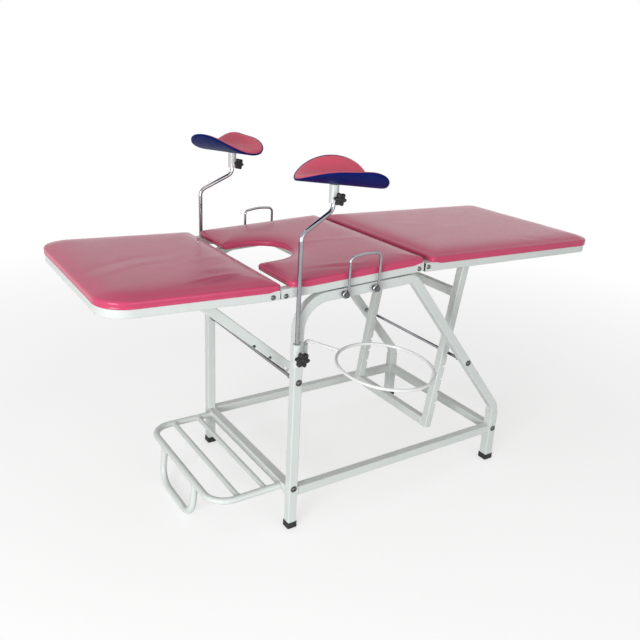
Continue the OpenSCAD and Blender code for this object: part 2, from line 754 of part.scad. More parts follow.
module back_board() {
    color(board_brown) on_back() translate([0, 0, back_rail_top + rest_gap]) linear_extrude(board_t)
        polygon(plain_outline(back_pad_x0, back_pad_x1, pad_half, back_pad_r0, back_pad_r1, board_inset));
}
back_pad_low = back_rail_top + board_t + 2*rest_gap;
module back_pad() {
    color(pad_pink) on_back()
        stacked([for (d = pad_insets)
                plain_outline(back_pad_x0, back_pad_x1, pad_half, back_pad_r0, back_pad_r1, d)],
            pad_heights(back_pad_low));
}

// Hand grips of bent rod that end in eyes
grip_bush = 8;
grip_y = table_w/2 + grip_bush + grip_d/2;
grip_corner_r = 15;
grip_arch = 6;
grip_arch_r = 180;
eye_r = grip_d;
eye_t = 6;
eye_disc_r = 11;
eye_foot = 3;
function eye_place(i) = [grip_x - eye_r + i*grip_len, seat_line(grip_x + i*grip_len, run_drop)];
module hand_grip(side) {
    foot_0 = eye_place(0) + [eye_r, eye_foot];
    foot_1 = eye_place(1) + [eye_r, eye_foot];
    rise = [0, grip_h - eye_foot];
    path = [foot_0, foot_0 + rise, (foot_0 + foot_1)/2 + rise + [0, grip_arch], foot_1 + rise, foot_1];
    color(chrome_grey) in_side_plane(side*grip_y) {
        bent_rod(path, [grip_corner_r, grip_arch_r, grip_corner_r], grip_d);
        for (i = [0, 1]) translate(eye_place(i)) difference() {
            translate([0, 0, -eye_t/2]) cylinder(r = eye_disc_r, h = eye_t);
            translate([0, 0, -grip_d]) cylinder(d = grip_bolt_d + 2*fit_gap, h = 2*grip_d);
        }
    }
}
module hand_grip_near() { hand_grip(-1); }
module hand_grip_far() { hand_grip(1); }
grip_bolt_d = 6;
module grip_fixings() {
    color(bolt_grey) both_sides() for (i = [0, 1]) translate([eye_place(i).x, 0, eye_place(i).y]) {
        difference() {
            along_y(2*eye_r, -table_w/2 - grip_bush + rest_gap, -table_w/2);
            along_y(grip_bolt_d + 2*fit_gap, -table_w/2 - grip_bush, -table_w/2 + over);
        }
        along_y(grip_bolt_d, -table_w/2 - grip_bush - grip_d - rest_gap, -table_w/2 - fit_gap);
        along_y(2*eye_r, -table_w/2 - grip_bush - grip_d - bolt_head_t,
            -table_w/2 - grip_bush - grip_d - rest_gap);
    }
}

// Step: round tube loop on the front cross rail, slats and a loop leg
step_wall = 1.5;
step_leg_r = 60;
step_leg_floor = step_tube_d/2;
step_leg_lean = 14;
module step_frame() {
    half = step_w/2;
    color(frame_white) translate([0, 0, step_z])
        bent_pipe([[0, -half], [-step_reach, -half], [-step_reach, half], [0, half]],
            [step_corner_r, step_corner_r], step_tube_d, step_wall);
}
slat_d = 16;
// Places of the slats as shares of the step's reach
slat_shares = [0.63, 0.23];
module step_slats() {
    half = step_w/2 - step_tube_d/2;
    color(frame_white) for (share = slat_shares)
        translate([-share*step_reach, 0, step_z]) difference() {
            along_y(slat_d, -half, half);
            along_y(slat_d - 2*step_wall, -half - over, half + over);
        }
}
module step_loop_leg() {
    half = step_leg_w/2;
    rise = step_z - step_leg_floor;
    lean = atan2(step_leg_lean, rise);
    color(frame_white) difference() {
        translate([-step_reach - step_leg_lean, 0, step_leg_floor]) rotate([0, lean, 0]) rotate([90, 0, 90])
            bent_pipe([[-half, rise], [-half, 0], [half, 0], [half, rise]], [step_leg_r, step_leg_r],
                step_tube_d, step_wall);
        translate([-step_reach, 0, step_z])
            along_y(step_tube_d + 2*rest_gap, -half - step_tube_d, half + step_tube_d);
        translate([-step_reach - step_tube_d, -half - step_tube_d, step_z])
            cube([2*step_tube_d, 2*half + 2*step_tube_d, step_tube_d]);
    }
}

// Rod sockets: vertical sleeves clamped to the front legs' outer faces
socket_d = 24;
socket_gap = 2;
socket_top = seat_h - socket_drop;
rod_y = table_w/2 + socket_d/2 + socket_gap;
rod_x = -4;
socket_knob_drop = 35;
screw_d = 8;
boss_len = 6;
boss_end = socket_d/2 + boss_len;
module rod_socket(side) {
    color(frame_white) translate([rod_x, side*rod_y, socket_top - socket_len]) difference() {
        union() {
            cylinder(d = socket_d, h = socket_len);
            translate([0, side > 0 ? -socket_d/2 - socket_gap : 0, 0])
                cube([tube/2 - rod_x, socket_d/2 + socket_gap, socket_len]);
            translate([0, 0, socket_len - socket_knob_drop])
                along_y(screw_d + 2*boss_len, side > 0 ? 0 : -boss_end, side > 0 ? boss_end : 0);
        }
        translate([0, 0, -over]) cylinder(d = rod_d + 2*fit_gap, h = socket_len + 2*over);
        translate([0, 0, socket_len - socket_knob_drop])
            along_y(screw_d + 2*fit_gap, side > 0 ? 0 : -socket_d, side > 0 ? socket_d : 0);
    }
}
module rod_socket_near() { rod_socket(-1); }
module rod_socket_far() { rod_socket(1); }

// Support rods: up from the socket, over and up into the rest's sleeve
rod_low_r = 26;
rod_inset = 3;
rod_top_z = rod_bend_z + rod_rise;
rest_sleeve_rise = 20;
rest_base_z = rod_top_z + rest_sleeve_rise;
rod_plan_reach = sqrt(pow(rod_reach, 2) + pow(rod_inward, 2));
rod_plan_turn = atan2(rod_inward, rod_reach);
rest_x = rod_x + rod_reach;
rest_y = rod_y - rod_inward;
module support_rod(side) {
    low = socket_top - socket_len + rod_inset;
    top = rest_base_z + rest_sleeve_len - sleeve_cap - rest_gap;
    color(chrome_grey) translate([rod_x, side*rod_y, 0])
        rotate([0, 0, -side*rod_plan_turn]) rotate([90, 0, 0])
        bent_rod([[0, low], [0, rod_bend_z], [rod_plan_reach, rod_top_z], [rod_plan_reach, top]],
            [rod_low_r, rod_low_r], rod_d);
}
module support_rod_near() { support_rod(-1); }
module support_rod_far() { support_rod(1); }

sleeve_cap = 6;
rest_knob_rise = 14;
rest_knob_turn = 20;
module rest_sleeve(side) {
    knob_dir = side < 0 ? -90 : -90 + rest_knob_turn;
    color(frame_white) translate([rest_x, side*rest_y, rest_base_z]) difference() {
        union() {
            cylinder(d = rest_sleeve_d, h = rest_sleeve_len);
            translate([0, 0, rest_knob_rise]) rotate([0, 0, knob_dir]) rotate([0, 90, 0])
                cylinder(d = screw_d + 2*boss_len, h = rest_sleeve_d/2 + boss_len);
        }
        translate([0, 0, -over]) cylinder(d = rod_d + 2*fit_gap, h = rest_sleeve_len - sleeve_cap + over);
        translate([0, 0, rest_lift - rest_base_z])
            rotate([0, 0, side < 0 ? near_rest_turn : far_rest_turn])
            rotate([0, side < 0 ? near_rest_tip : far_rest_tip, 0])
            rotate([rest_roll, 0, 0]) translate([-rest_sleeve_d, -rest_sleeve_d, -rest_shell_t - 2*rest_gap])
            cube([2*rest_sleeve_d, 2*rest_sleeve_d, rest_sleeve_d]);
        translate([0, 0, rest_knob_rise]) rotate([0, 0, knob_dir]) rotate([0, 90, 0])
            cylinder(d = screw_d + 2*fit_gap, h = rest_sleeve_d);
    }
}
module rest_sleeve_near() { rest_sleeve(-1); }
module rest_sleeve_far() { rest_sleeve(1); }

// Knee rests: a plate with one long wing and a cut beside it, bent over a trough along its own X axis
rest_ring_shares = [0.3, 0.6, 0.82, 0.94, 1];
pad_round_shares = [1, 0.99, 0.89, 0.62, 0];
rest_last = len(rest_ring_shares) - 1;
rest_arc = 48;
rest_edge = 0.3;
// Angle between the directions a and b
function apart(a, b) = acos(cos(a - b));
function oval(a) = 1/norm([cos(a)/rest_half_len, sin(a)/(sin(a) > 0 ? rest_tall_w : rest_low_w)]);
function wing(a) = 1 + wing_share*pow(max(cos(a - wing_dir), 0), wing_power);
function cut(a) = 1 - cut_share*exp(-pow(apart(a, cut_dir)/cut_width, 2));
// Bend the plate over the trough and lift it by h square to its surface
function bent(p, h) = let(w = p.y/rest_trough_r*180/PI, r = rest_trough_r - h)
    [p.x, r*sin(w), rest_trough_r - r*cos(w)];
function lobe(a, t, h) = let(r = t*oval(a)*wing(a)*cut(a)) bent([rest_shift + r*cos(a), r*sin(a)], h);
function rest_row(t, h) = [for (i = [0:rest_arc - 1]) lobe(360*i/rest_arc, t, h)];
// A sheet: its middle below, rows outward along its underside and back inward along its top, its
// middle above
function rest_sheet(low, highs) = concat([lobe(0, 0, low)],
    [for (k = [0:rest_last]) each rest_row(rest_ring_shares[k], low)],
    [for (k = [rest_last:-1:0]) each rest_row(rest_ring_shares[k], highs[k])],
    [lobe(0, 0, highs[0])]);
// Faces of such a sheet; the rows of the top take the other diagonal, so that both sides bend alike
function sheet_faces(n, last) = concat([for (i = [0:n - 1]) [0, 1 + i, 1 + (i + 1)%n]],
    [for (k = [0:2*last], i = [0:n - 1]) let(j = (i + 1)%n, a = 1 + k*n, b = a + n)
        each k > last ? [[a + i, b + i, a + j], [a + j, b + i, b + j]] :
            [[a + i, b + j, a + j], [a + i, b + i, b + j]]],
    [for (i = [0:n - 1]) let(a = 1 + (2*last + 1)*n) [a + n, a + (i + 1)%n, a + i]]);
shell_points = rest_sheet(-rest_shell_t - rest_gap, [for (k = [0:rest_last]) -rest_gap]);
pad_points = rest_sheet(0, [for (share = pad_round_shares) rest_edge + rest_pad_t*share]);
rest_lift = rest_base_z + rest_sleeve_len + rest_shell_t + 2*rest_gap;
// A rest is rolled about its trough, tipped and turned, all about the sleeve's top
function rolled(p, a) = [p.x, p.y*cos(a) - p.z*sin(a), p.y*sin(a) + p.z*cos(a)];
function tipped(p, a) = [p.x*cos(a) + p.z*sin(a), p.y, p.z*cos(a) - p.x*sin(a)];
function spun(p, a) = [p.x*cos(a) - p.y*sin(a), p.x*sin(a) + p.y*cos(a), p.z];
function rest_near(p) = spun(tipped(rolled(p, rest_roll), near_rest_tip), near_rest_turn)
    + [rest_x, -rest_y, rest_lift];
function rest_far(p) = spun(tipped(rolled(p, rest_roll), far_rest_tip), far_rest_turn)
    + [rest_x, rest_y, rest_lift];
module rest_solid(points) { polyhedron(points, sheet_faces(rest_arc, rest_last)); }
module rest_shell_near() { color(shell_blue) rest_solid([for (p = shell_points) rest_near(p)]); }
module rest_shell_far() { color(shell_blue) rest_solid([for (p = shell_points) rest_far(p)]); }
module rest_pad_near() { color(pad_pink) rest_solid([for (p = pad_points) rest_near(p)]); }
module rest_pad_far() { color(pad_pink) rest_solid([for (p = pad_points) rest_far(p)]); }

// Star knob on a screw along +Z, screw tip at z = 0
knob_d = 44;
knob_t = 15;
lobe_d = 15;
module star_knob(reach, wide) {
    k = wide/knob_d;
    cylinder(d = screw_d, h = reach);
    translate([0, 0, reach]) {
        cylinder(d = wide*neck_share, h = knob_neck);
        translate([0, 0, knob_neck]) linear_extrude(knob_t*k) {
            circle(wide/2 - lobe_d*k/2);
            for (a = [0:60:300]) rotate(a) translate([wide/2 - lobe_d*k/2, 0]) circle(lobe_d*k/2);
        }
    }
}
knob_neck = 5;
neck_share = 0.42;
module socket_knob(side) {
    start = rod_d/2 + rest_gap;
    reach = socket_d/2 + boss_len + rest_gap - start;
    color(rubber_black) translate([rod_x, side*(rod_y + start), socket_top - socket_knob_drop])
        rotate([-side*90, 0, 0]) star_knob(reach, knob_d);
}
module socket_knob_near() { socket_knob(-1); }
module socket_knob_far() { socket_knob(1); }
rest_knob_d = 36;
module rest_knob(side) {
    start = rod_d/2 + rest_gap;
    reach = rest_sleeve_d/2 + boss_len + rest_gap - start;
    color(rubber_black) translate([rest_x, side*rest_y, rest_base_z + rest_knob_rise])
        rotate([0, 0, side < 0 ? -90 : -90 + rest_knob_turn]) rotate([0, 90, 0]) translate([0, 0, start])
        star_knob(reach, rest_knob_d);
}
module rest_knob_near() { rest_knob(-1); }
module rest_knob_far() { rest_knob(1); }

// Basin ring on a pin in a sleeve behind the near front leg
basin_sleeve_d = 16;
basin_sleeve_len = 34;
basin_sleeve_flat = 4;
basin_bend_r = 12;
basin_pin_len = 46;
basin_z = seat_h - basin_drop;
module basin_sleeve() {
    top = basin_z - basin_bend_r - rest_gap;
    color(frame_white) translate([basin_pivot.x, basin_pivot.y, top - basin_sleeve_len]) difference() {
        union() {
            cylinder(d = basin_sleeve_d, h = basin_sleeve_len);
            translate([tube - basin_pivot.x, basin_sleeve_flat - basin_sleeve_d/2, 0])
                cube([basin_pivot.x - tube, basin_sleeve_d - basin_sleeve_flat, basin_sleeve_len]);
        }
        translate([0, 0, -over]) cylinder(d = basin_wire + 2*fit_gap, h = basin_sleeve_len + 2*over);
    }
}
module basin_ring() {
    color(frame_white) translate([basin_pivot.x, basin_pivot.y, basin_z]) rotate([0, 0, basin_azimuth]) {
        rotate([90, 0, 0])
            bent_rod([[0, -basin_pin_len], [0, 0],
                (basin_reach - basin_r)*[cos(basin_droop), -sin(basin_droop)]],
                [basin_bend_r], basin_wire);
        rotate([0, basin_droop, 0]) translate([basin_reach, 0, 0])
            rotate_extrude() translate([basin_r, 0]) circle(basin_wire/2);
    }
}

// Part origin at the middle of the overall box, on the floor
function leg_edge(z) = leg_pin_x + (tube_corner - leg_len)*cos(leg_rest) + z*sin(leg_rest) - tube_corner;
function back_edge(z) = back_pin_x + (back_len - tube_corner)*cos(back_rest) + z*sin(back_rest) + tube_corner;
foot_pad_x = leg_pin_x + min([for (s = edge_shares)
    (leg_pad_x0 + s.x*pad_t)*cos(leg_rest) + (leg_pad_low + s.y*pad_t)*sin(leg_rest)]);
head_pad_x = back_pin_x + max([for (s = edge_shares)
    (back_pad_x1 - s.x*pad_t)*cos(back_rest) + (back_pad_low + s.y*pad_t)*sin(back_rest)]);
min_x = min(foot_pad_x, leg_edge(leg_rail_top - tube + tube_corner));
max_x = max(head_pad_x, back_edge(back_rail_top - tube_corner));
basin_pivot_gap = 9;
basin_pivot_out = 4;
basin_pivot = [tube + basin_pivot_gap, -side_y - basin_pivot_out];
ring_mid = [basin_pivot.x + basin_reach*cos(basin_droop)*cos(basin_azimuth),
    basin_pivot.y + basin_reach*cos(basin_droop)*sin(basin_azimuth)];
ring_normal_y = sin(basin_droop)*sin(basin_azimuth);
min_y = ring_mid.y - basin_r*sqrt(1 - pow(ring_normal_y, 2)) - basin_wire/2;
max_y = max([for (p = concat(shell_points, pad_points)) rest_far(p).y]);
module place() { translate([-(min_x + max_x)/2, -(min_y + max_y)/2, 0]) children(); }

place() side_frame_near();
place() side_frame_far();
place() rear_leg_near();
place() rear_leg_far();
place() lower_rail_near();
place() lower_rail_far();
place() front_cross_rail();
place() rear_cross_rail();
place() leg_catch_rod();
place() back_catch_rod();
place() frame_bolts();
place() rubber_feet();
place() seat_rail_frame();
place() seat_packing();
place() seat_board();
place() seat_pad();
place() seat_hinge_pins();
place() back_hinge_plates();
place() hand_grip_near();
place() hand_grip_far();
place() grip_fixings();
place() step_frame();
place() step_slats();
place() step_loop_leg();
place() rod_socket_near();
place() rod_socket_far();
place() basin_sleeve();
place() leg_frame();
place() leg_hinge_plates();
place() leg_board();
place() leg_pad();
place() leg_prop_lugs();
place() leg_prop();
place() back_frame();
place() back_board();
place() back_pad();
place() back_prop_lugs();
place() back_prop();
place() support_rod_near();
place() support_rod_far();
place() rest_sleeve_near();
place() rest_sleeve_far();
place() rest_shell_near();
place() rest_shell_far();
place() rest_pad_near();
place() rest_pad_far();
place() socket_knob_near();
place() socket_knob_far();
place() rest_knob_near();
place() rest_knob_far();
place() basin_ring();
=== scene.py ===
# Looks of the gynaecological examination table: white bent tube, pink vinyl pads, blue-backed knee rests.
# Places on the table are written in millimetres from the front legs' face, the mid width and the floor;
# toPart() moves them to where the CAD has them, in metres.
import json
import math
import bmesh
import bpy
import numpy as np
from mathutils import Matrix, Vector


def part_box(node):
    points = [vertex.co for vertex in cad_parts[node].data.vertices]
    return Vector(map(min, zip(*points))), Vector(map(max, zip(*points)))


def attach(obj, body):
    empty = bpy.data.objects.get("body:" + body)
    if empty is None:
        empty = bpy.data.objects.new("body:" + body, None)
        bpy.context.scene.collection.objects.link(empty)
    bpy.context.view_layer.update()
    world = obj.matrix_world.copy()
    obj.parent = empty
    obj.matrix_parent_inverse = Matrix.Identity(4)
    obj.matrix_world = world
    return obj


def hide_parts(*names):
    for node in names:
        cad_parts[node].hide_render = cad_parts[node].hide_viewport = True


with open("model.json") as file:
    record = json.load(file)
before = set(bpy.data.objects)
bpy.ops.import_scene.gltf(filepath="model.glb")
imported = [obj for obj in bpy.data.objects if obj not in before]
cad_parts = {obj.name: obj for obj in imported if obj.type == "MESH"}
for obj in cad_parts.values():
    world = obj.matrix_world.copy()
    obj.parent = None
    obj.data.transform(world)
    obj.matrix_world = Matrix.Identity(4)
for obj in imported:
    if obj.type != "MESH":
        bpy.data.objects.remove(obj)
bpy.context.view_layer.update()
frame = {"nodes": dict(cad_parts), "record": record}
scene = bpy.context.scene
pi = math.pi
print("frame loaded")

# Half width, the side tubes' middle line and their inner face, the middles of the front and the rear legs, and
# each section's pin (x, z) with the degrees that it stands at
table = {"half": 300.0, "tubeLine": 286.0, "tubeInside": 271.8, "frontLeg": 14.0, "rearLeg": 842.0,
         "seat": (0, 773, -2.3), "leg": (-35, 752, 1.8), "back": (454, 774, 1.2)}
perMetre = 1000
nearlyParallel = 0.1

# The near side frame's low corner is the table's own (0, -half width)
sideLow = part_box("side_frame_near")[0]
tableShift = np.array([sideLow.x * perMetre, sideLow.y * perMetre + table["half"], 0.0])


def toPart(points):
    return (np.asarray(points, float) + tableShift) / perMetre


def unit(v):
    v = np.asarray(v, float)
    return v / np.linalg.norm(v, axis=-1, keepdims=True)


# Two directions turned into each other by degrees
def turnedBy(a, b, degrees):
    c, s = math.cos(math.radians(degrees)), math.sin(math.radians(degrees))
    return a * c - b * s, a * s + b * c


# A section on its own pin: local x, y, z turned by degrees about Y and moved to the pin
def section(pinX, pinZ, degrees):
    def place(points):
        p = np.asarray(points, float)
        x, z = turnedBy(p[..., 0], p[..., 2], -degrees)
        return np.stack([pinX + x, p[..., 1], pinZ + z], -1)

    return place


onSeat, onLeg, onBack = (section(*table[key]) for key in ("seat", "leg", "back"))


# Quads between rows of points on a grid, counted row by row
def gridQuads(rows, cols, wrapRows=False, wrapCols=False):
    i = np.arange(rows if wrapRows else rows - 1)[:, None]
    j = np.arange(cols if wrapCols else cols - 1)[None, :]
    a, b = i * cols + j, i * cols + (j + 1) % cols
    c, d = ((i + 1) % rows) * cols + (j + 1) % cols, ((i + 1) % rows) * cols + j
    return np.stack([a, b, c, d], -1).reshape(-1, 4)


# Several (points, faces) as one
def joined(parts):
    points, faces, count = [], [], 0
    for p, f in parts:
        p = np.asarray(p, float).reshape(-1, 3)
        points.append(p)
        faces += [(np.asarray(x) + count).tolist() for x in f]
        count += len(p)
    return np.concatenate(points), faces


def addPiece(name, points, faces, material, body, slotName, sharp=None):
    mesh = bpy.data.meshes.new(name)
    mesh.from_pydata(toPart(np.asarray(points).reshape(-1, 3)).tolist(), [], [list(f) for f in faces])
    mesh.validate()
    mesh.shade_smooth()
    if sharp:
        mesh.set_sharp_from_angle(angle=math.radians(sharp))
    mesh.materials.append(material)
    piece = bpy.data.objects.new(name, mesh)
    scene.collection.objects.link(piece)
    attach(piece, body)
    return piece


def mirroredY(points, faces):
    return np.asarray(points).reshape(-1, 3) * [1, -1, 1], [list(f)[::-1] for f in faces]


def aroundCircle(count):
    return np.linspace(0, 2 * pi, count, endpoint=False)


# Length along a line of points, from its start
def runAlong(path):
    return np.concatenate([[0], np.cumsum(np.linalg.norm(np.diff(path, axis=0), axis=1))])


# A line through points with each inner corner rounded to its radius: an arc about the point on the corner's
# bisector that is a radius from both legs
def rounded(points, radii, step=1.5):
    p = np.asarray(points, float)
    out = [p[:1]]
    for k, r in enumerate(radii):
        a, b, c = p[k], p[k + 1], p[k + 2]
        u, v = unit(a - b), unit(c - b)
        half = math.acos(np.clip(-(u @ v), -1, 1)) / 2
        n = unit(u + v)
        mid = b + n * r / math.cos(half)
        w = np.linspace(-half, half, max(6, int(2 * half * r / step)))[:, None]
        out.append(mid + r * (np.sin(w) * unit(v - u) - np.cos(w) * n))
    out.append(p[-1:])
    return np.concatenate(out)


# Directions across a line: they turn as little as they can from point to point
def framesAlong(path, closed=False):
    t = unit(np.roll(path, -1, 0) - np.roll(path, 1, 0) if closed else np.gradient(path, axis=0))
    start = np.cross(t[0], [0, 0, 1.0])
    if np.linalg.norm(start) < nearlyParallel:
        start = np.cross(t[0], [0, 1.0, 0])
    across = [unit(start)]
    for ahead in t[1:]:
        across.append(unit(across[-1] - ahead * (across[-1] @ ahead)))
    across = np.array(across)
    return t, across, np.cross(t, across)


# Round rod: a circle of radius r(k) carried along the line, path + r (cos w a + sin w b), its ends closed by a
# point a share of the radius further out
def rod(path, radius, around=20, closed=False, dome=0.25):
    t, a, b = framesAlong(path, closed)
    r = np.broadcast_to(np.asarray(radius, float), len(path))[:, None, None]
    w = aroundCircle(around)
    ring = np.cos(w)[None, :, None] * a[:, None] + np.sin(w)[None, :, None] * b[:, None]
    points = path[:, None] + r * ring
    if closed:
        return points.reshape(-1, 3), gridQuads(len(path), around, True, True)[:, ::-1]
    tips = [path[0] - t[0] * r[0, 0, 0] * dome, path[-1] + t[-1] * r[-1, 0, 0] * dome]
    n = len(path) * around
    k, last = np.arange(around), n - around
    faces = gridQuads(len(path), around, False, True)[:, ::-1].tolist()
    faces += np.stack([np.full(around, n), k, (k + 1) % around], -1)[:, ::-1].tolist()
    faces += np.stack([np.full(around, n + 1), last + k, last + (k + 1) % around], -1).tolist()
    return np.concatenate([points.reshape(-1, 3), tips]), faces


# Rings of one count as a closed form: quads between them and a face on the first and the last
def stacked(rings):
    rows, around = rings.shape[:2]
    faces = gridQuads(rows, around, False, True).tolist()
    faces.append(list(range(around))[::-1])
    faces.append(list(range((rows - 1) * around, rows * around)))
    return rings.reshape(-1, 3), faces


# Turned form: (radius, height) rows about an axis, centre + h z + r (cos w x + sin w y); shape(radii, w) may
# give each row its own outline
def turned(rows, centre, axis, around=40, shape=None):
    rows = np.asarray(rows, float)
    w = aroundCircle(around)
    r = np.repeat(rows[:, :1], around, 1) if shape is None else shape(rows[:, 0], w)
    z = unit(axis)
    x = np.cross([0, 0, 1.0], z)
    x = np.array([1.0, 0, 0]) if np.linalg.norm(x) < nearlyParallel else unit(x)
    y = np.cross(z, x)
    return stacked(np.asarray(centre, float) + rows[:, 1, None, None] * z
                   + r[..., None] * (np.cos(w)[None, :, None] * x + np.sin(w)[None, :, None] * y))


# Sets a node's inputs: each is a value or another node's output
def feed(tree, made, inputs):
    for key, value in inputs.items():
        if isinstance(value, bpy.types.NodeSocket):
            tree.links.new(value, made.inputs[key])
        else:
            made.inputs[key].default_value = value
    return made


def node(tree, kind, inputs=None, **settings):
    made = tree.nodes.new(kind)
    for key, value in settings.items():
        setattr(made, key, value)
    return feed(tree, made, inputs or {})


def maths(tree, operation, a, b=0.0, clamp=False):
    return node(tree, "ShaderNodeMath", {0: a, 1: b}, operation=operation, use_clamp=clamp).outputs[0]


def vectorMaths(tree, operation, inputs):
    return node(tree, "ShaderNodeVectorMath", inputs, operation=operation).outputs


def times(tree, a, b, clamp=False):
    return maths(tree, "MULTIPLY", a, b, clamp)


# a and b added, each at its share
def weighed(tree, shares, a, b):
    return maths(tree, "ADD", times(tree, a, shares[0]), times(tree, b, shares[1]))


def mapped(tree, value, span, toLow=0.0, toHigh=1.0):
    return node(tree, "ShaderNodeMapRange", {"Value": value, "From Min": span[0], "From Max": span[1],
                                             "To Min": toLow, "To Max": toHigh}).outputs[0]


def mixed(tree, factor, a, b):
    return node(tree, "ShaderNodeMix", {"Factor": factor, 6: a, 7: b}, data_type="RGBA").outputs[2]


def noise(tree, vector, scale, detail, roughness):
    return node(tree, "ShaderNodeTexNoise", {"Vector": vector, "Scale": scale, "Detail": detail,
                                             "Roughness": roughness}).outputs[0]


def normalNow(tree):
    return node(tree, "ShaderNodeNewGeometry").outputs["Normal"]


number, colour, arrow = "NodeSocketFloat", "NodeSocketColor", "NodeSocketVector"
where = ("Position", arrow, (0, 0, 0))


# An empty group with named sockets, what it is given and its output node
def newGroup(name, inputs, outputs):
    group = bpy.data.node_groups.new(name, "ShaderNodeTree")
    for label, kind, value in inputs:
        group.interface.new_socket(label, in_out="INPUT", socket_type=kind).default_value = value
    for label, kind in outputs:
        group.interface.new_socket(label, in_out="OUTPUT", socket_type=kind)
    return group, group.nodes.new("NodeGroupInput").outputs, group.nodes.new("NodeGroupOutput")


# The groups' noises are given as (scale, detail, roughness), or without the scale where a material gives it.
# Cloudy change between two colours, coarse clouds broken up by finer ones:
mottleLook = {"coarse": (4.0, 0.6), "fine": (3.0, 0.6), "finer": 9.0, "shares": (0.7, 0.3),
              "span": (0.35, 0.65)}


def makeMottle(look):
    g, given, out = newGroup("mottle", [where, ("Scale", number, 6.0), ("First", colour, (1, 1, 1, 1)),
                                        ("Second", colour, (0.8, 0.8, 0.8, 1))], [("Color", colour)])
    coarse = noise(g, given["Position"], given["Scale"], *look["coarse"])
    fine = noise(g, given["Position"], times(g, given["Scale"], look["finer"]), *look["fine"])
    value = mapped(g, weighed(g, look["shares"], coarse, fine), look["span"])
    feed(g, out, {"Color": mixed(g, value, given["First"], given["Second"])})
    return g


# Wear where the surface turns within a radius: the rounded normal leaves the true one at edges, by the cosines
# in "turn", and a coarse noise breaks the line up
wearLook = {"samples": 4, "turn": (0.97, 0.8), "breakUp": (130.0, 5.0, 0.7), "broken": (0.52, 0.66)}


def makeEdgeWear(look):
    g, given, out = newGroup("edgeWear", [where, ("Radius", number, 0.002), ("Amount", number, 1.0)],
                             [("Mask", number)])
    bevel = node(g, "ShaderNodeBevel", {"Radius": given["Radius"]}, samples=look["samples"]).outputs[0]
    dot = vectorMaths(g, "DOT_PRODUCT", {0: bevel, 1: normalNow(g)})["Value"]
    edge = mapped(g, dot, look["turn"])
    broken = mapped(g, noise(g, given["Position"], *look["breakUp"]), look["broken"])
    feed(g, out, {"Mask": times(g, times(g, edge, broken), given["Amount"], True)})
    return g


# Dust that settles on faces that look up, in clouds
dustLook = {"clouds": (14.0, 6.0, 0.65), "cloudSpan": (0.4, 0.75), "upward": (0.3, 1.0)}


def makeDust(look):
    g, given, out = newGroup("dust", [where, ("Amount", number, 0.3)], [("Mask", number)])
    up = node(g, "ShaderNodeSeparateXYZ", {0: normalNow(g)}).outputs["Z"]
    cloud = mapped(g, noise(g, given["Position"], *look["clouds"]), look["cloudSpan"])
    feed(g, out, {"Mask": times(g, times(g, mapped(g, up, look["upward"]), cloud), given["Amount"], True)})
    return g


# Spray-paint skin: low rounded pits of about 1.5 mm with finer ones in them
peelLook = {"pits": (1.0, 0.4), "finer": 3.0, "shares": (0.8, 0.2)}


def makeOrangePeel(look):
    g, given, out = newGroup("orangePeel", [where, ("Scale", number, 420.0)], [("Height", number)])
    coarse = noise(g, given["Position"], given["Scale"], *look["pits"])
    fine = noise(g, given["Position"], times(g, given["Scale"], look["finer"]), *look["pits"])
    feed(g, out, {"Height": weighed(g, look["shares"], coarse, fine)})
    return g


# Grain of coated cloth: small rounded cells with creases between them, their lines made to wander, and pores;
# the creases also come out as a mask for painted shade
grainLook = {"wanderScale": 240.0, "wander": 0.0012, "creaseSpan": (0.0, 0.22), "poresFiner": 2.6,
             "pores": (2.0, 0.5), "shares": (0.25, -0.75)}


def makeVinylGrain(look):
    g, given, out = newGroup("vinylGrain", [where, ("Scale", number, 650.0)],
                             [("Height", number), ("CreaseShade", number)])
    wander = node(g, "ShaderNodeTexNoise", {"Vector": given["Position"], "Scale": look["wanderScale"]})
    small = vectorMaths(g, "SCALE", {0: wander.outputs["Color"], "Scale": look["wander"]})[0]
    shifted = vectorMaths(g, "ADD", {0: given["Position"], 1: small})[0]
    cells = node(g, "ShaderNodeTexVoronoi", {"Vector": shifted, "Scale": given["Scale"]},
                 feature="DISTANCE_TO_EDGE").outputs["Distance"]
    crease = mapped(g, cells, look["creaseSpan"], 1.0, 0.0)
    pores = noise(g, given["Position"], times(g, given["Scale"], look["poresFiner"]), *look["pores"])
    feed(g, out, {"Height": weighed(g, look["shares"], pores, crease), "CreaseShade": crease})
    return g


# Hand marks that change the gloss: soft blots, and thin level lines
smudgeLook = {"blots": (22.0, 5.0, 0.7), "stretch": (30.0, 30.0, 420.0), "lines": (6.0, 2.0, 0.5),
              "shares": (0.7, 0.3), "span": (0.35, 0.65)}


def makeSmudges(look):
    g, given, out = newGroup("smudges", [where, ("Low", number, 0.1), ("High", number, 0.25)],
                             [("Value", number)])
    blots = noise(g, given["Position"], *look["blots"])
    lines = noise(g, vectorMaths(g, "MULTIPLY", {0: given["Position"], 1: look["stretch"]})[0], *look["lines"])
    value = weighed(g, look["shares"], blots, lines)
    feed(g, out, {"Value": mapped(g, value, look["span"], given["Low"], given["High"])})
    return g


# Plywood: thin bands of light and dark plies on the cut edge, long grain on the faces
plyLook = {"stretch": (6.0, 90.0, 60.0), "grain": (2.2, 6.0, 0.65), "bands": 105.0, "sway": 0.6, "detail": 1.0,
           "shares": (0.65, 0.35), "span": (0.35, 0.75)}


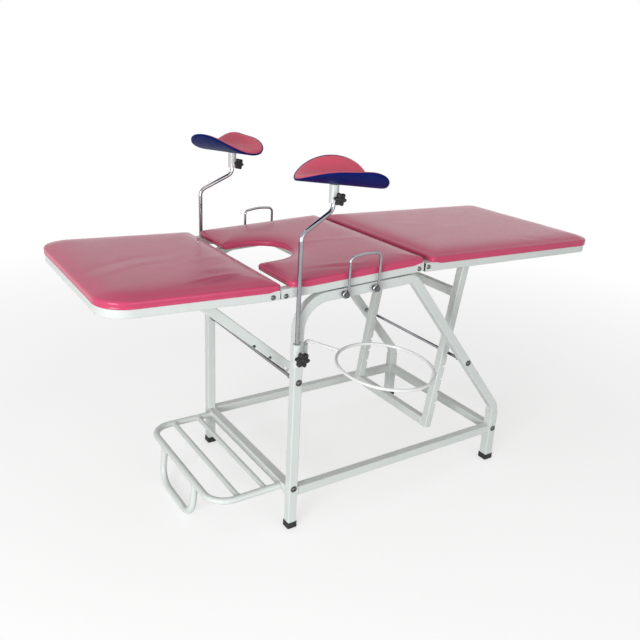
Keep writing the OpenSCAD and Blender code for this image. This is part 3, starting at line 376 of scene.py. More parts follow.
def makePlies(look):
    g, given, out = newGroup("plies", [where, ("Light", colour, (0.6, 0.45, 0.28, 1)),
                                       ("Dark", colour, (0.34, 0.22, 0.12, 1))],
                             [("Color", colour), ("Height", number)])
    grain = noise(g, vectorMaths(g, "MULTIPLY", {0: given["Position"], 1: look["stretch"]})[0], *look["grain"])
    bands = node(g, "ShaderNodeTexWave", {"Vector": given["Position"], "Scale": look["bands"],
                                          "Distortion": look["sway"], "Detail": look["detail"]},
                 bands_direction="Z").outputs["Fac"]
    value = mapped(g, weighed(g, look["shares"], grain, bands), look["span"])
    feed(g, out, {"Color": mixed(g, value, given["Dark"], given["Light"]), "Height": grain})
    return g


mottle, edgeWear, dust = makeMottle(mottleLook), makeEdgeWear(wearLook), makeDust(dustLook)
orangePeel, vinylGrain = makeOrangePeel(peelLook), makeVinylGrain(grainLook)
smudges, plies = makeSmudges(smudgeLook), makePlies(plyLook)
print("shader groups made")


# A material with its Principled shader's constants set, and its object coordinates
def newMaterial(name, shader):
    material = bpy.data.materials.new(name)
    material.use_nodes = True
    tree = material.node_tree
    principled = feed(tree, tree.nodes["Principled BSDF"], shader)
    return material, tree, principled, node(tree, "ShaderNodeTexCoord").outputs["Object"]


def use(tree, group, inputs):
    return feed(tree, node(tree, "ShaderNodeGroup", node_tree=group), inputs).outputs


def clouded(tree, position, look):
    return use(tree, mottle, {"Position": position, "Scale": look["clouds"], "First": look["colour"],
                              "Second": look["shade"]})["Color"]


def rubbed(tree, position, look):
    return use(tree, edgeWear, {"Position": position, "Radius": look["wearRadius"],
                                "Amount": look["wear"]})["Mask"]


def dusted(tree, position, look):
    return use(tree, dust, {"Position": position, "Amount": look["dust"]})["Mask"]


def glossed(tree, position, look):
    low, high = look["rough"]
    return use(tree, smudges, {"Position": position, "Low": low, "High": high})["Value"]


def bumped(tree, principled, height, look):
    bump = node(tree, "ShaderNodeBump", {"Height": height, "Strength": look["bump"], "Distance": look["depth"]})
    tree.links.new(bump.outputs[0], principled.inputs["Normal"])


# Sprayed paint: rubbed edges show what is under it, dust dulls it, and its skin is orange peel
sprayed = {"clouds": 5.0, "wearRadius": 0.0022, "specular": 0.5, "coatRough": 0.12, "depth": 0.0004,
           "dustColour": (0.55, 0.53, 0.49, 1), "dustRough": 0.3, "chip": 0.6}


def paint(name, look):
    material, tree, principled, position = newMaterial(name, {
        "Coat Weight": look["coat"], "Coat Roughness": look["coatRough"],
        "Specular IOR Level": look["specular"]})
    worn, dusty = rubbed(tree, position, look), dusted(tree, position, look)
    base = mixed(tree, worn, clouded(tree, position, look), look["under"])
    dulled = maths(tree, "ADD", glossed(tree, position, look), times(tree, dusty, look["dustRough"]))
    feed(tree, principled, {"Base Color": mixed(tree, dusty, base, look["dustColour"]), "Roughness": dulled})
    peel = use(tree, orangePeel, {"Position": position, "Scale": look["peel"]})["Height"]
    bumped(tree, principled, maths(tree, "SUBTRACT", peel, times(tree, worn, look["chip"])), look)
    return material


# Bare or plated metal: clouded, dusty on top, with a fine tool grain
plated = {"dustColour": (0.5, 0.48, 0.45, 1), "grain": (3.0, 0.6), "depth": 0.0002}


def metal(name, look):
    material, tree, principled, position = newMaterial(name, {"Metallic": 1.0, "Specular Tint": look["tint"]})
    dusty = dusted(tree, position, look)
    base = mixed(tree, dusty, clouded(tree, position, look), look["dustColour"])
    feed(tree, principled, {"Base Color": base, "Roughness": glossed(tree, position, look)})
    bumped(tree, principled, noise(tree, position, look["fine"], *look["grain"]), look)
    return material


# Coated cloth: painted shade in the grain's creases, paler rubbed edges, and slack under the grain
coated = {"clouds": 4.0, "wearRadius": 0.004, "creaseShadeShare": 0.22, "slackNoise": (26.0, 2.0, 0.5), "bump": 1.0,
          "depth": 0.001}


def vinyl(name, look):
    material, tree, principled, position = newMaterial(name, {"Specular IOR Level": look["specular"]})
    grain = use(tree, vinylGrain, {"Position": position, "Scale": look["grain"]})
    # The creases' mask mixes in the darker crease colour: painted shade in the grain
    share = times(tree, grain["CreaseShade"], look["creaseShadeShare"])
    creaseShaded = mixed(tree, share, clouded(tree, position, look), look["crease"])
    feed(tree, principled, {"Base Color": mixed(tree, rubbed(tree, position, look), creaseShaded, look["rubbed"]),
                            "Roughness": glossed(tree, position, look)})
    slack = noise(tree, position, *look["slackNoise"])
    height = weighed(tree, (look["grainHeight"], look["slack"]), grain["Height"], slack)
    bumped(tree, principled, height, look)
    return material


# Rubber and knob plastic: greyer where it is rubbed and where dust lies
moulded = {"clouds": 30.0, "wearRadius": 0.0015, "wear": 0.7, "specular": 0.3, "sheen": 0.03,
           "grain": (4.0, 0.6), "rubbed": (0.09, 0.09, 0.09, 1), "dustColour": (0.22, 0.21, 0.19, 1),
           "bump": 0.5, "depth": 0.0003}


def rubber(name, look):
    material, tree, principled, position = newMaterial(name, {
        "Specular IOR Level": look["specular"], "Sheen Weight": look["sheen"]})
    base = mixed(tree, rubbed(tree, position, look), clouded(tree, position, look), look["rubbed"])
    dusty = mixed(tree, dusted(tree, position, look), base, look["dustColour"])
    feed(tree, principled, {"Base Color": dusty, "Roughness": glossed(tree, position, look)})
    bumped(tree, principled, noise(tree, position, look["fine"], *look["grain"]), look)
    return material


def board(name, look):
    material, tree, principled, position = newMaterial(name, {"Roughness": look["rough"]})
    wood = use(tree, plies, {"Position": position})
    dusty = mixed(tree, dusted(tree, position, look), wood["Color"], look["dustColour"])
    feed(tree, principled, {"Base Color": dusty})
    bumped(tree, principled, wood["Height"], look)
    return material


framePaint = paint("framePaint", dict(
    sprayed, colour=(0.76, 0.81, 0.785, 1), shade=(0.72, 0.77, 0.745, 1), under=(0.33, 0.32, 0.30, 1),
    rough=(0.26, 0.4), coat=0.2, wear=0.5, dust=0.12, peel=420.0, bump=0.22))
ringPaint = paint("ringPaint", dict(
    sprayed, colour=(0.86, 0.87, 0.87, 1), shade=(0.82, 0.83, 0.83, 1), under=(0.4, 0.4, 0.39, 1),
    rough=(0.22, 0.35), coat=0.5, wear=0.4, dust=0.08, peel=520.0, bump=0.2))
weldPaint = paint("weldPaint", dict(
    sprayed, colour=(0.78, 0.81, 0.79, 1), shade=(0.68, 0.70, 0.67, 1), under=(0.42, 0.36, 0.30, 1),
    rough=(0.3, 0.5), coat=0.25, wear=0.8, dust=0.25, peel=900.0, bump=0.4))
chrome = metal("chrome", dict(
    plated, colour=(0.40, 0.40, 0.42, 1), shade=(0.30, 0.30, 0.33, 1), tint=(0.35, 0.35, 0.37, 1),
    rough=(0.05, 0.16), dust=0.05, clouds=18.0, fine=1500.0, bump=0.05))
zinc = metal("zinc", dict(
    plated, colour=(0.17, 0.17, 0.17, 1), shade=(0.10, 0.10, 0.10, 1), tint=(0.6, 0.6, 0.6, 1),
    rough=(0.25, 0.5), dust=0.15, clouds=90.0, fine=1800.0, bump=0.2))
# Each vinyl's "crease" colour is the painted shade laid in its grain's creases
padVinyl = vinyl("padVinyl", dict(
    coated, colour=(0.70, 0.075, 0.185, 1), shade=(0.655, 0.066, 0.165, 1), crease=(0.42, 0.03, 0.09, 1),
    rubbed=(0.78, 0.16, 0.28, 1), rough=(0.19, 0.26), specular=0.33, grain=620.0, grainHeight=0.025,
    slack=0.14, wear=0.15))
# Knee-rest vinyl: its own pink, made paler than the pad vinyl as painted light, since the lamps reach its inner
# faces less
restVinyl = vinyl("restVinyl", dict(
    coated, colour=(0.88, 0.13, 0.21, 1), shade=(0.82, 0.115, 0.19, 1), crease=(0.44, 0.035, 0.08, 1),
    rubbed=(0.78, 0.2, 0.28, 1), rough=(0.38, 0.5), specular=0.2, grain=620.0, grainHeight=0.04,
    slack=0.15, wear=0.15))
coverBlue = vinyl("coverBlue", dict(
    coated, colour=(0.004, 0.012, 0.13, 1), shade=(0.005, 0.015, 0.16, 1), crease=(0.002, 0.004, 0.03, 1),
    rubbed=(0.03, 0.05, 0.2, 1), rough=(0.35, 0.5), specular=0.06, grain=560.0, grainHeight=0.05,
    slack=0.2, wear=0.3))
footRubber = rubber("footRubber", dict(
    moulded, colour=(0.018, 0.018, 0.019, 1), shade=(0.03, 0.03, 0.03, 1), rough=(0.5, 0.7), dust=0.4,
    fine=700.0))
knobPlastic = rubber("knobPlastic", dict(
    moulded, colour=(0.012, 0.012, 0.013, 1), shade=(0.022, 0.022, 0.022, 1), rough=(0.3, 0.45), dust=0.03,
    fine=1100.0))
plywood = board("plywood", {"rough": 0.75, "dust": 0.3, "dustColour": (0.5, 0.47, 0.42, 1), "bump": 0.6,
                            "depth": 0.0006})

slotMaterials = {"frame_paint": framePaint, "ring_paint": ringPaint, "chrome": chrome, "fasteners": zinc,
                 "vinyl": padVinyl, "rest_vinyl": restVinyl, "rest_shell": coverBlue, "board": plywood,
                 "rubber": footRubber, "knob": knobPlastic}
for entry in frame["record"]["subparts"]:
    cadNode = frame["nodes"][entry["node"]]
    if not cadNode.material_slots:
        cadNode.data.materials.append(None)
    for materialSlot in cadNode.material_slots:
        materialSlot.material = slotMaterials[entry["material_slot"]]
print("materials made")


# Outlines run anticlockwise. Each side is a half corner, a straight and a half corner, so the four sides
# bound a grid; moved inward by d the point counts stay the same.
outline = {"halfCorner": 7, "leastRadius": 1.5}


# Points of an arc between two angles, in n steps
def arc(cx, cy, r, a0, a1, n):
    w = np.radians(np.linspace(a0, a1, n + 1))
    return np.stack([cx + r * np.cos(w), cy + r * np.sin(w)], -1)


# Part of the round corner that stands at (x, y): its middle is a radius in from both edges
def corner(x, y, r, a0, a1, n=None):
    mid = math.radians((a0 + a1) / 2)
    cx, cy = x - math.copysign(r, math.cos(mid)), y - math.copysign(r, math.sin(mid))
    return arc(cx, cy, r, a0, a1, n or outline["halfCorner"] * (a1 - a0) // 45)


# Runs joined end to end; a number stands for a straight in so many steps between its neighbours
def chain(*runs):
    out = []
    for k, run in enumerate(runs):
        if isinstance(run, int):
            a, b = runs[k - 1][-1], runs[k + 1][0]
            run = a + np.linspace(0, 1, run + 1)[:, None] * (b - a)
        out.append(run[1:] if out else run)
    return np.concatenate(out)


# The outline's ends, half width and corner radii, all moved inward by d
def movedIn(shape, d):
    radii = [max(shape[key] - d, outline["leastRadius"]) for key in ("r0", "r1")]
    return shape["x0"] + d, shape["x1"] - d, shape["half"] - d, *radii


# Four sides of a plain pad: near, head, far, foot
def plainSides(shape, d):
    x0, x1, y, r0, r1 = movedIn(shape, d)
    near = chain(corner(x0, -y, r0, 225, 270), shape["along"], corner(x1, -y, r1, 270, 315))
    head = chain(corner(x1, -y, r1, 315, 360), shape["across"], corner(x1, y, r1, 0, 45))
    far = chain(corner(x1, y, r1, 45, 90), shape["along"], corner(x0, y, r0, 90, 135))
    foot = chain(corner(x0, y, r0, 135, 180), shape["across"], corner(x0, -y, r0, 180, 225))
    return near, head, far, foot


# Four sides of the seat pad: round the outside, far front end, back round the cut-out, near front end
def notchedSides(shape, d):
    x0, x1, y, r0, r1 = movedIn(shape, d)
    c, m, cx = shape["cut"] / 2 + d, shape["mouth"], shape["cutEnd"] - shape["cut"] / 2
    outer = chain(corner(x0, -y, r0, 225, 270), shape["along"], corner(x1, -y, r1, 270, 360), shape["across"],
                  corner(x1, y, r1, 0, 90), shape["along"], corner(x0, y, r0, 90, 135))
    farEnd = chain(corner(x0, y, r0, 135, 180), shape["horn"], corner(x0, c, m, 180, 225))
    inner = chain(corner(x0, c, m, 225, 270), shape["throat"], arc(cx, 0, c, 90, -90, shape["round"]),
                  shape["throat"], corner(x0, -c, m, 90, 135))
    nearEnd = chain(corner(x0, -c, m, 135, 180), shape["horn"], corner(x0, -y, r0, 180, 225))
    return outer, farEnd, inner, nearEnd


# Length along a run of points, as a share of the whole
def shareAlong(run):
    s = runAlong(run)
    return s / s[-1]


# Grid inside four sides: opposite sides blended, less the corners' own blend
def filled(a, b, c, d):
    low, high, right, left = a, c[::-1], b, d[::-1]
    s = ((shareAlong(low) + shareAlong(high)) / 2)[:, None, None]
    t = ((shareAlong(right) + shareAlong(left)) / 2)[None, :, None]
    grid = (1 - t) * low[:, None] + t * high[:, None] + (1 - s) * left[None] + s * right[None]
    ends = (1 - t) * ((1 - s) * low[0] + s * low[-1]) + t * ((1 - s) * high[0] + s * high[-1])
    return grid - ends


# Four sides as one closed line
def outlineLoop(sides):
    return np.concatenate([side[:-1] for side in sides])


# Distance from points to a closed line, some thousands of points at a time
def distanceTo(points, loop, atOnce=2000):
    a, b = loop, np.roll(loop, -1, 0)
    e = b - a
    out = []
    for part in np.array_split(points, max(1, len(points) // atOnce)):
        w = np.clip(((part[:, None] - a) * e).sum(-1) / np.maximum((e * e).sum(-1), 1e-9), 0, 1)
        out.append(np.linalg.norm(part[:, None] - a - w[..., None] * e, axis=-1).min(1))
    return np.concatenate(out)


# Slack in the cover: long low ridges and hollows, each a bell across its line and along it, its line bent a
# little by a sine. The draws keep clear of the pad's ends and sides.
fold = {"endClear": 40, "sideClear": 50, "turn": (-40, 40), "length": (50, 150), "width": (9, 24),
        "height": (-0.7, 0.8), "bend": 0.06, "bends": 2}


def slackHeight(x, y, folds):
    z = np.zeros_like(x)
    for fx, fy, turn, length, width, height in folds:
        u, v = turnedBy(x - fx, y - fy, -turn)
        v = v + fold["bend"] * u * np.sin(u / length * fold["bends"])
        z += height * np.exp(-(u / length) ** 2 - (v / width) ** 2)
    return z


def randomFolds(seed, shape, count):
    draw = np.random.default_rng(seed)
    x = draw.uniform(shape["x0"] + fold["endClear"], shape["x1"] - fold["endClear"], count)
    y = draw.uniform(-shape["half"] + fold["sideClear"], shape["half"] - fold["sideClear"], count)
    others = [draw.uniform(*fold[key], count) for key in ("turn", "length", "width", "height")]
    return list(zip(x, y, *others))


# The pad's side from inside the board, down round the hem and up over the edge: inset and height over the
# rail's top; what lies below it hangs outside the rail
padEdge = [(26, 1.4), (26, 0.12), (14, 0.12), (4, 0.12), (2.25, 0.1), (2.0, -0.6), (1.9, -3.4), (1.6, -4.3),
           (1.0, -4.6), (0.45, -4.2), (0.25, -3.0), (0.35, -1.2), (0.45, 0.6), (0.4, 2.6), (0.2, 4.8),
           (0.0, 7.0), (0.05, 9.2), (0.35, 11.2), (1.05, 12.9), (2.3, 14.3), (4.0, 15.4), (6.2, 16.3),
           (9.0, 17.1), (12.3, 17.9), (16.0, 18.7)]

# The cover's hem and gathers. Below the level "hem" it hangs outside the rail, within "sideReach" of the side
# and from "hemFade" on past the corners. "gather" is how many points to each side a corner's bend is averaged
# over; "puckers" and "pulls" are waves, (share, turns, start) round a corner and (depth, run, start) along the
# hem. "low" and "high" are bells of height (level, spread) in which the hem is drawn in and the edge lifted.
cover = {"hem": 0.12, "sideReach": 4, "hemFade": 18, "gather": 6, "puckers": ((0.6, 26, 0.0), (0.4, 41, 1.0)),
         "pulls": ((0.25, 23.0, 0.0), (0.2, 9.7, 2.0)), "pullRest": 0.45, "low": (2.5, 2.5), "high": (13, 4),
         "puckerIn": 0.5, "pullIn": 0.35, "puckerUp": 0.3, "softRun": 14}


# Share of the hem's drop round the outline: none at the ends that lie over the rails, nor in the cut-out
def hemShare(shape, loop):
    share = (np.abs(loop[:, 1]) > shape["half"] - cover["sideReach"]).astype(float)
    for end, radius, reach in ((0, "r0", loop[:, 0] - shape["x0"]), (1, "r1", shape["x1"] - loop[:, 0])):
        past = reach - shape[radius] - cover["sideReach"]
        if end == shape["outerEnd"]:
            share = np.where(past < 0, 1.0, share)
        else:
            share = share * np.clip(past / cover["hemFade"], 0, 1)
    return share


# exp(-((height - level) / spread) ^ 2)
def bell(height, level, spread):
    return math.exp(-((height - level) / spread) ** 2)


# A pad in its section's own millimetres: edge rings drawn in at the gathers and along the hem, a crowned top,
# edge + crown (1 - exp(-depth / run)) + slack, and a closed underside
def padSurface(shape, sides):
    base = outlineLoop(sides(shape, 0))
    behind, span = np.roll(base, 1, 0), cover["gather"]
    tangent = unit(np.roll(base, -1, 0) - behind)
    outward = np.stack([tangent[:, 1], -tangent[:, 0]], -1)
    bend = np.abs(tangent - np.roll(tangent, 1, 0)).sum(1)
    width = 2 * span + 1
    gather = np.convolve(np.concatenate([bend[-span:], bend, bend[:span]]), np.ones(width) / width, "valid")
    gather = np.clip(gather / gather.max(), 0, 1)
    angle = np.unwrap(np.arctan2(outward[:, 1], outward[:, 0]))
    pucker = gather * sum(share * np.sin(angle * turns + start) for share, turns, start in cover["puckers"])
    run = np.cumsum(np.linalg.norm(base - behind, axis=1))
    pull = sum(depth * np.sin(run / reach + start) for depth, reach, start in cover["pulls"])
    hang, rings = hemShare(shape, base), []
    for inset, height in padEdge:
        drawn = np.abs(pucker) * cover["puckerIn"] + (pull + cover["pullRest"]) * cover["pullIn"]
        ring = outlineLoop(sides(shape, inset)) - outward * (drawn * bell(height, *cover["low"]))[:, None]
        level = np.where(height < cover["hem"], cover["hem"] + (height - cover["hem"]) * hang, height)
        rings.append(np.column_stack([ring, level + pucker * cover["puckerUp"] * bell(height, *cover["high"])]))
    edge = (np.concatenate(rings), gridQuads(len(rings), len(base), False, True).tolist())
    (firstInset, firstLevel), (lastInset, lastLevel) = padEdge[0], padEdge[-1]
    inner = filled(*sides(shape, lastInset))
    rows, cols = inner.shape[:2]
    flat = inner.reshape(-1, 2)
    deep = distanceTo(flat, base) - lastInset
    crown = shape["crown"] * (1 - np.exp(-np.maximum(deep, 0) / shape["crownRun"]))
    slack = slackHeight(flat[:, 0], flat[:, 1], shape["folds"]) * np.clip(deep / cover["softRun"], 0, 1)
    top = np.column_stack([flat, lastLevel + crown + slack])
    under = np.column_stack([filled(*sides(shape, firstInset)).reshape(-1, 2), np.full(len(flat), firstLevel)])
    return joined([edge, (top, gridQuads(rows, cols)[:, ::-1]), (under, gridQuads(rows, cols))])


# Joins the points that rings and grids share, and turns every face outward
def welded(piece, distance):
    work = bmesh.new()
    work.from_mesh(piece.data)
    bmesh.ops.remove_doubles(work, verts=work.verts, dist=distance)
    bmesh.ops.recalc_face_normals(work, faces=work.faces)
    work.to_mesh(piece.data)
    work.free()


# Each pad: ends, half width, corner radii, points along and across, crown, the end that hangs over (0 foot,
# 1 head, -1 neither) and its height over the section's pin. A fold is x, y, turn, length, width, height.
legShape = {"x0": -486, "x1": -15.5, "half": 303, "r0": 77, "r1": 12, "along": 46, "across": 58, "crown": 10.5,
            "crownRun": 25.0, "outerEnd": 0, "railTop": 18.0}
legShape["folds"] = randomFolds(4, legShape, 10) + [
    (-155, -238, 14, 62, 9, -1.5), (-172, -222, 14, 74, 11, 1.1), (-330, -60, 24, 120, 16, 1.2),
    (-350, -20, 24, 110, 14, -1.0)]
seatShape = {"x0": -20, "x1": 434, "half": 303, "r0": 26, "r1": 12, "cut": 214, "cutEnd": 148, "mouth": 14,
             "along": 46, "across": 56, "horn": 18, "throat": 24, "round": 128, "crown": 6.5, "crownRun": 24.0,
             "outerEnd": -1, "railTop": 0.0, "foldsFrom": 150}
seatShape["folds"] = randomFolds(9, dict(seatShape, x0=seatShape["foldsFrom"]), 7) + [
    (150, -262, -14, 70, 9, -1.7), (165, -246, -14, 80, 12, 1.2)]
backShape = {"x0": 13, "x1": 760, "half": 303, "r0": 12, "r1": 62, "along": 80, "across": 58, "crown": 10.5,
             "crownRun": 25.0, "outerEnd": 1, "railTop": 12.6}
backShape["folds"] = randomFolds(21, backShape, 14)
padJoinDistance = 0.00002

for name, cadPad, shape, sides, place, body in (
        ("legPad", "leg_pad", legShape, plainSides, onLeg, "leg_section"),
        ("seatPad", "seat_pad", seatShape, notchedSides, onSeat, "base"),
        ("backPad", "back_pad", backShape, plainSides, onBack, "back_section")):
    points, faces = padSurface(shape, sides)
    pad = addPiece(name, place(points + [0, 0, shape["railTop"]]), faces, padVinyl, body, "vinyl")
    welded(pad, padJoinDistance)
    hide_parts(cadPad)
print("pads made")


# A plate bent over a trough along its own x axis. Its reach at angle a is that of an oval with its own half
# width on each side, longer toward the wing and cut in beside it:
# 1 / hypot(cos a / length, sin a / width) * (1 + wing cos(a - wingTurn) ^ wingPower)
# * (1 - cut exp(-((a - cutTurn) / cutWidth) ^ 2)). The padding's height falls off to the rim as a root of
# 1 - share ^ rimPower; "hub" is the share of the first ring, and rows start "lift" over the trough.
rest = {"length": 127.2, "tallWidth": 130.3, "lowWidth": 100.4, "wing": 0.200, "wingTurn": -53.3,
        "wingPower": 11.4, "cut": 0.408, "cutTurn": 12.8, "cutWidth": 31.6, "trough": 131.5, "shift": 22.3,
        "roll": -2.1, "base": 1041.6, "shell": 3.0, "shellGap": 0.3, "padding": 14.0, "lift": 1, "rimPower": 8,
        "hub": 0.004, "rings": 36, "around": 180, "weltAround": 360, "weltSides": 12, "weltHeight": 0.6,
        "weltRadius": 2.0}
restPlaces = {"near": {"x": 101.0, "y": -297.0, "tip": 4.5, "turn": -21.1},
              "far": {"x": 101.0, "y": 297.0, "tip": 1.1, "turn": 110.1}}
restJoinDistance = 0.0006


def restReach(a):
    wide = np.where(np.sin(a) > 0, rest["tallWidth"], rest["lowWidth"])
    r = 1 / np.sqrt((np.cos(a) / rest["length"]) ** 2 + (np.sin(a) / wide) ** 2)
    fromWing = np.maximum(np.cos(a - math.radians(rest["wingTurn"])), 0)
    fromCut = (np.degrees(a) - rest["cutTurn"] + 180) % 360 - 180
    r = r * (1 + rest["wing"] * fromWing ** rest["wingPower"])
    return r * (1 - rest["cut"] * np.exp(-(fromCut / rest["cutWidth"]) ** 2))


# Point at angle a and share t of the reach, lifted by h square to the trough
def restPoint(a, t, h):
    r = restReach(a) * t
    u, w = r * np.cos(a) + rest["shift"], r * np.sin(a) / rest["trough"]
    deep = rest["trough"] - h
    return np.stack([u, deep * np.sin(w), rest["trough"] - deep * np.cos(w)], -1)


# Rolled about the trough, tipped and turned on the sleeve
def restPlaced(p, place):
    x, y, z = p[..., 0], p[..., 1], p[..., 2]
    y, z = turnedBy(y, z, rest["roll"])
    x, z = turnedBy(x, z, -place["tip"])
    x, y = turnedBy(x, y, place["turn"])
    return np.stack([x + place["x"], y + place["y"], z + rest["base"]], -1)


# Closed sheet from rows of (share, height): each row is a ring round the plate
def restSheet(rows, place):
    rows = np.asarray(rows, float)
    a = aroundCircle(rest["around"])[None, :]
    points = restPlaced(restPoint(a, rows[:, :1], rows[:, 1:] + 0 * a), place).reshape(-1, 3)
    return points, gridQuads(len(rows), rest["around"], False, True).tolist()


# Rows of the padding, out along its seat and back over its crown, and of the shell under it
def restRows():
    t = np.linspace(rest["hub"], 1, rest["rings"])
    crown = rest["lift"] + rest["padding"] * np.clip(1 - t ** rest["rimPower"], 0, 1) ** 0.5
    under, gap = np.full(len(t), -rest["shell"] - rest["shellGap"]), np.full(len(t), -rest["shellGap"])
    pad = np.concatenate([np.column_stack([t, np.zeros(len(t))]), np.column_stack([t, crown])[::-1]])
    return pad, np.concatenate([np.column_stack([t, under]), np.column_stack([t[::-1], gap])])


padRows, shellRows = restRows()
for side, place in restPlaces.items():
    body = "rest_" + side
    pad = addPiece("kneePad" + side.title(), *restSheet(padRows, place), restVinyl, body, "rest_vinyl")
    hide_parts("rest_pad_" + side)
    shell = addPiece("kneeCover" + side.title(), *restSheet(shellRows, place), coverBlue, body, "rest_shell")
    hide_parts("rest_shell_" + side)
    for piece in (pad, shell):
        welded(piece, restJoinDistance)
    a = aroundCircle(rest["weltAround"])
    rim = restPlaced(restPoint(a, np.ones_like(a), np.full_like(a, rest["weltHeight"])), place)
    welt = rod(rim, rest["weltRadius"], rest["weltSides"], True)
    addPiece("kneeWelt" + side.title(), *welt, coverBlue, body, "rest_shell")
print("knee rests made")


# Domed bolt on a washer: rows of radius and height over the face, the last of them a six-sided socket. Places
# are x, distance from the middle and height: both catch rods' ends, and the lower rails' rear and front ends.
bolt = {"rows": [(0.01, -18), (4.0, -18), (4.0, 0.0), (9.6, 0.0), (10.2, 0.3), (10.2, 1.2), (9.8, 1.6),
                 (7.2, 1.6), (7.1, 2.2), (7.0, 3.0), (6.3, 4.3), (5.2, 5.3), (3.9, 5.9), (3.0, 6.1),
                 (2.6, 5.9), (2.5, 5.4), (2.4, 3.4), (0.01, 3.2)],
        "socketRows": 5, "socketFit": 0.95, "around": 48, "sharp": 35,
        "places": [(16, 300, 488), (676, 300, 414.7), (842, 302, 127), (14, 300, 139)]}


def boltShape(radii, w):
    flat = 1 / np.cos((w + pi / 6) % (pi / 3) - pi / 6)
    six = (np.arange(len(radii)) >= len(radii) - bolt["socketRows"])[:, None]
    return radii[:, None] * np.where(six, flat[None, :] * bolt["socketFit"], 1.0)


parts = []
for x, y, z in bolt["places"]:
    made = turned(bolt["rows"], (x, -y, z), (0, -1, 0), bolt["around"], boltShape)
    parts += [made, mirroredY(*made)]
bolts = addPiece("frameBolts", *joined(parts), zinc, "base", "fasteners", sharp=bolt["sharp"])
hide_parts("frame_bolts")


# Star knob: lobes on a rounded edge, a dished face and a cap; rows are radius, height and lobe share. The edge
# follows 1 - depth (1 - ((1 + cos(lobes (w + turn))) / 2) ^ power).
knobLook = {"rows": [(0.01, 0, 0), (6.0, 0, 0), (9.3, 0.2, 0), (9.3, 4.6, 0), (10.5, 5.2, 0.2), (20.0, 5.4, 1),
                     (21.4, 6.2, 1), (22.0, 7.8, 1), (22.0, 16.4, 1), (21.6, 18.0, 1), (20.4, 19.3, 1),
                     (18.4, 20.0, 0.95), (13.0, 20.2, 0.5), (9.2, 20.2, 0), (8.8, 19.6, 0), (7.4, 19.4, 0),
                     (7.0, 19.9, 0), (5.5, 20.9, 0), (3.0, 21.4, 0), (0.01, 21.5, 0)],
            "lobes": 6, "depth": 0.33, "power": 0.75, "turn": 12.0, "around": 96, "sharp": 40,
            "cap": [(4.6, 0), (4.6, 0.5), (3.9, 1.2), (2.2, 1.6), (0.01, 1.7)], "capLevel": 20.6,
            "capAround": 32}
screw = {"length": 13.0, "radius": 4.0, "ridge": 0.35, "pitch": 1.25, "rowsPerMm": 5, "around": 20}
# Where they sit: x, distance from the middle and height of the bore, how far out the screw starts and the knob
# stands, and the degrees that they face, counted from x
knobSeats = {"socket": {"x": -4.0, "y": 314.0, "z": 580.0, "start": 6.3, "reach": 18.3, "scale": 1.0,
                        "facing": {"near": -90, "far": 90}},
             "rest": {"x": 101.0, "y": 297.0, "z": 1004.0, "start": 6.3, "reach": 19.3, "scale": 36 / 44,
                      "facing": {"near": -90, "far": -70}}}


def knobAt(centre, axis, scale):
    rows = np.array(knobLook["rows"])

    def lobes(radii, w):
        crest = (1 + np.cos(knobLook["lobes"] * (w + math.radians(knobLook["turn"])))) / 2
        wave = -knobLook["depth"] * (1 - crest ** knobLook["power"])
        return radii[:, None] * (1 + wave[None, :] * rows[:, 2:])

    return turned(rows[:, :2] * scale, centre, axis, knobLook["around"], lobes)


# Its screw: a turned rod with a ridge every pitch, radius - ridge (1 - abs(sin(pi z / pitch)))
def screwAt(tip, axis):
    z = np.linspace(0, screw["length"], int(screw["length"] * screw["rowsPerMm"]))
    r = screw["radius"] - screw["ridge"] + screw["ridge"] * np.abs(np.sin(z * pi / screw["pitch"]))
    return turned(np.column_stack([r, z]), tip, axis, screw["around"])


for side, sign in (("near", -1), ("far", 1)):
    for kind, seat in knobSeats.items():
        facing = math.radians(seat["facing"][side])
        axis = np.array([math.cos(facing), math.sin(facing), 0.0])
        hub = np.array([seat["x"], sign * seat["y"], seat["z"]])
        made = joined([knobAt(hub + axis * seat["reach"], axis, seat["scale"]),
                       screwAt(hub + axis * seat["start"], axis)])
        name, body = kind + "Knob", kind + "_knob_" + side
        knob = addPiece(name + side.title(), *made, knobPlastic, body, "knob", sharp=knobLook["sharp"])
        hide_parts(body)
        face = hub + axis * (seat["reach"] + knobLook["capLevel"] * seat["scale"])
        cap = turned(knobLook["cap"], face, axis, knobLook["capAround"])
        addPiece(name + "Cap" + side.title(), *cap, knobPlastic, body, "knob")


# Square with round corners about the origin
def squareLoop(half, radius, n=6):
    quarters = ((1, 1, 0), (-1, 1, 90), (-1, -1, 180), (1, -1, 270))
    return np.concatenate([corner(half * x, half * y, radius, a, a + 90, n) for x, y, a in quarters])


# Rubber caps: a rounded square, larger than the tube by its wall, carried up rows of offset and height, with
# two grooves and a rolled lip. Places are x and the tube's width.
foot = {"rows": [(-9, 0.0), (-4.0, 0.0), (-2.6, 0.6), (-0.6, 2.2), (0.5, 4.0), (0.6, 6.0), (0.1, 7.4),
                 (-0.5, 8.0), (0.1, 8.6), (0.1, 12.0), (-0.5, 12.6), (0.1, 13.2), (0.0, 19.4), (-0.3, 20.8),
                 (-1.1, 21.8), (-2.0, 21.9), (-2.35, 21.2), (-2.35, 12.0)],
        "places": ((table["frontLeg"], 28), (table["rearLeg"], 32)), "wall": 2.5, "corner": 5.5,
        "leastCorner": 0.6, "sharp": 50}
parts = []
for x, width in foot["places"]:
    rings = []
    for offset, z in foot["rows"]:
        loop = squareLoop(width / 2 + foot["wall"] + offset, max(foot["corner"] + offset, foot["leastCorner"]))
        rings.append(np.column_stack([loop, np.full(len(loop), z)]))
    made = stacked(np.stack(rings) + [x, -table["tubeLine"], 0])
    parts += [made, mirroredY(*made)]
feet = addPiece("rubberFeet", *joined(parts), footRubber, "base", "rubber", sharp=foot["sharp"])
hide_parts("rubber_feet")

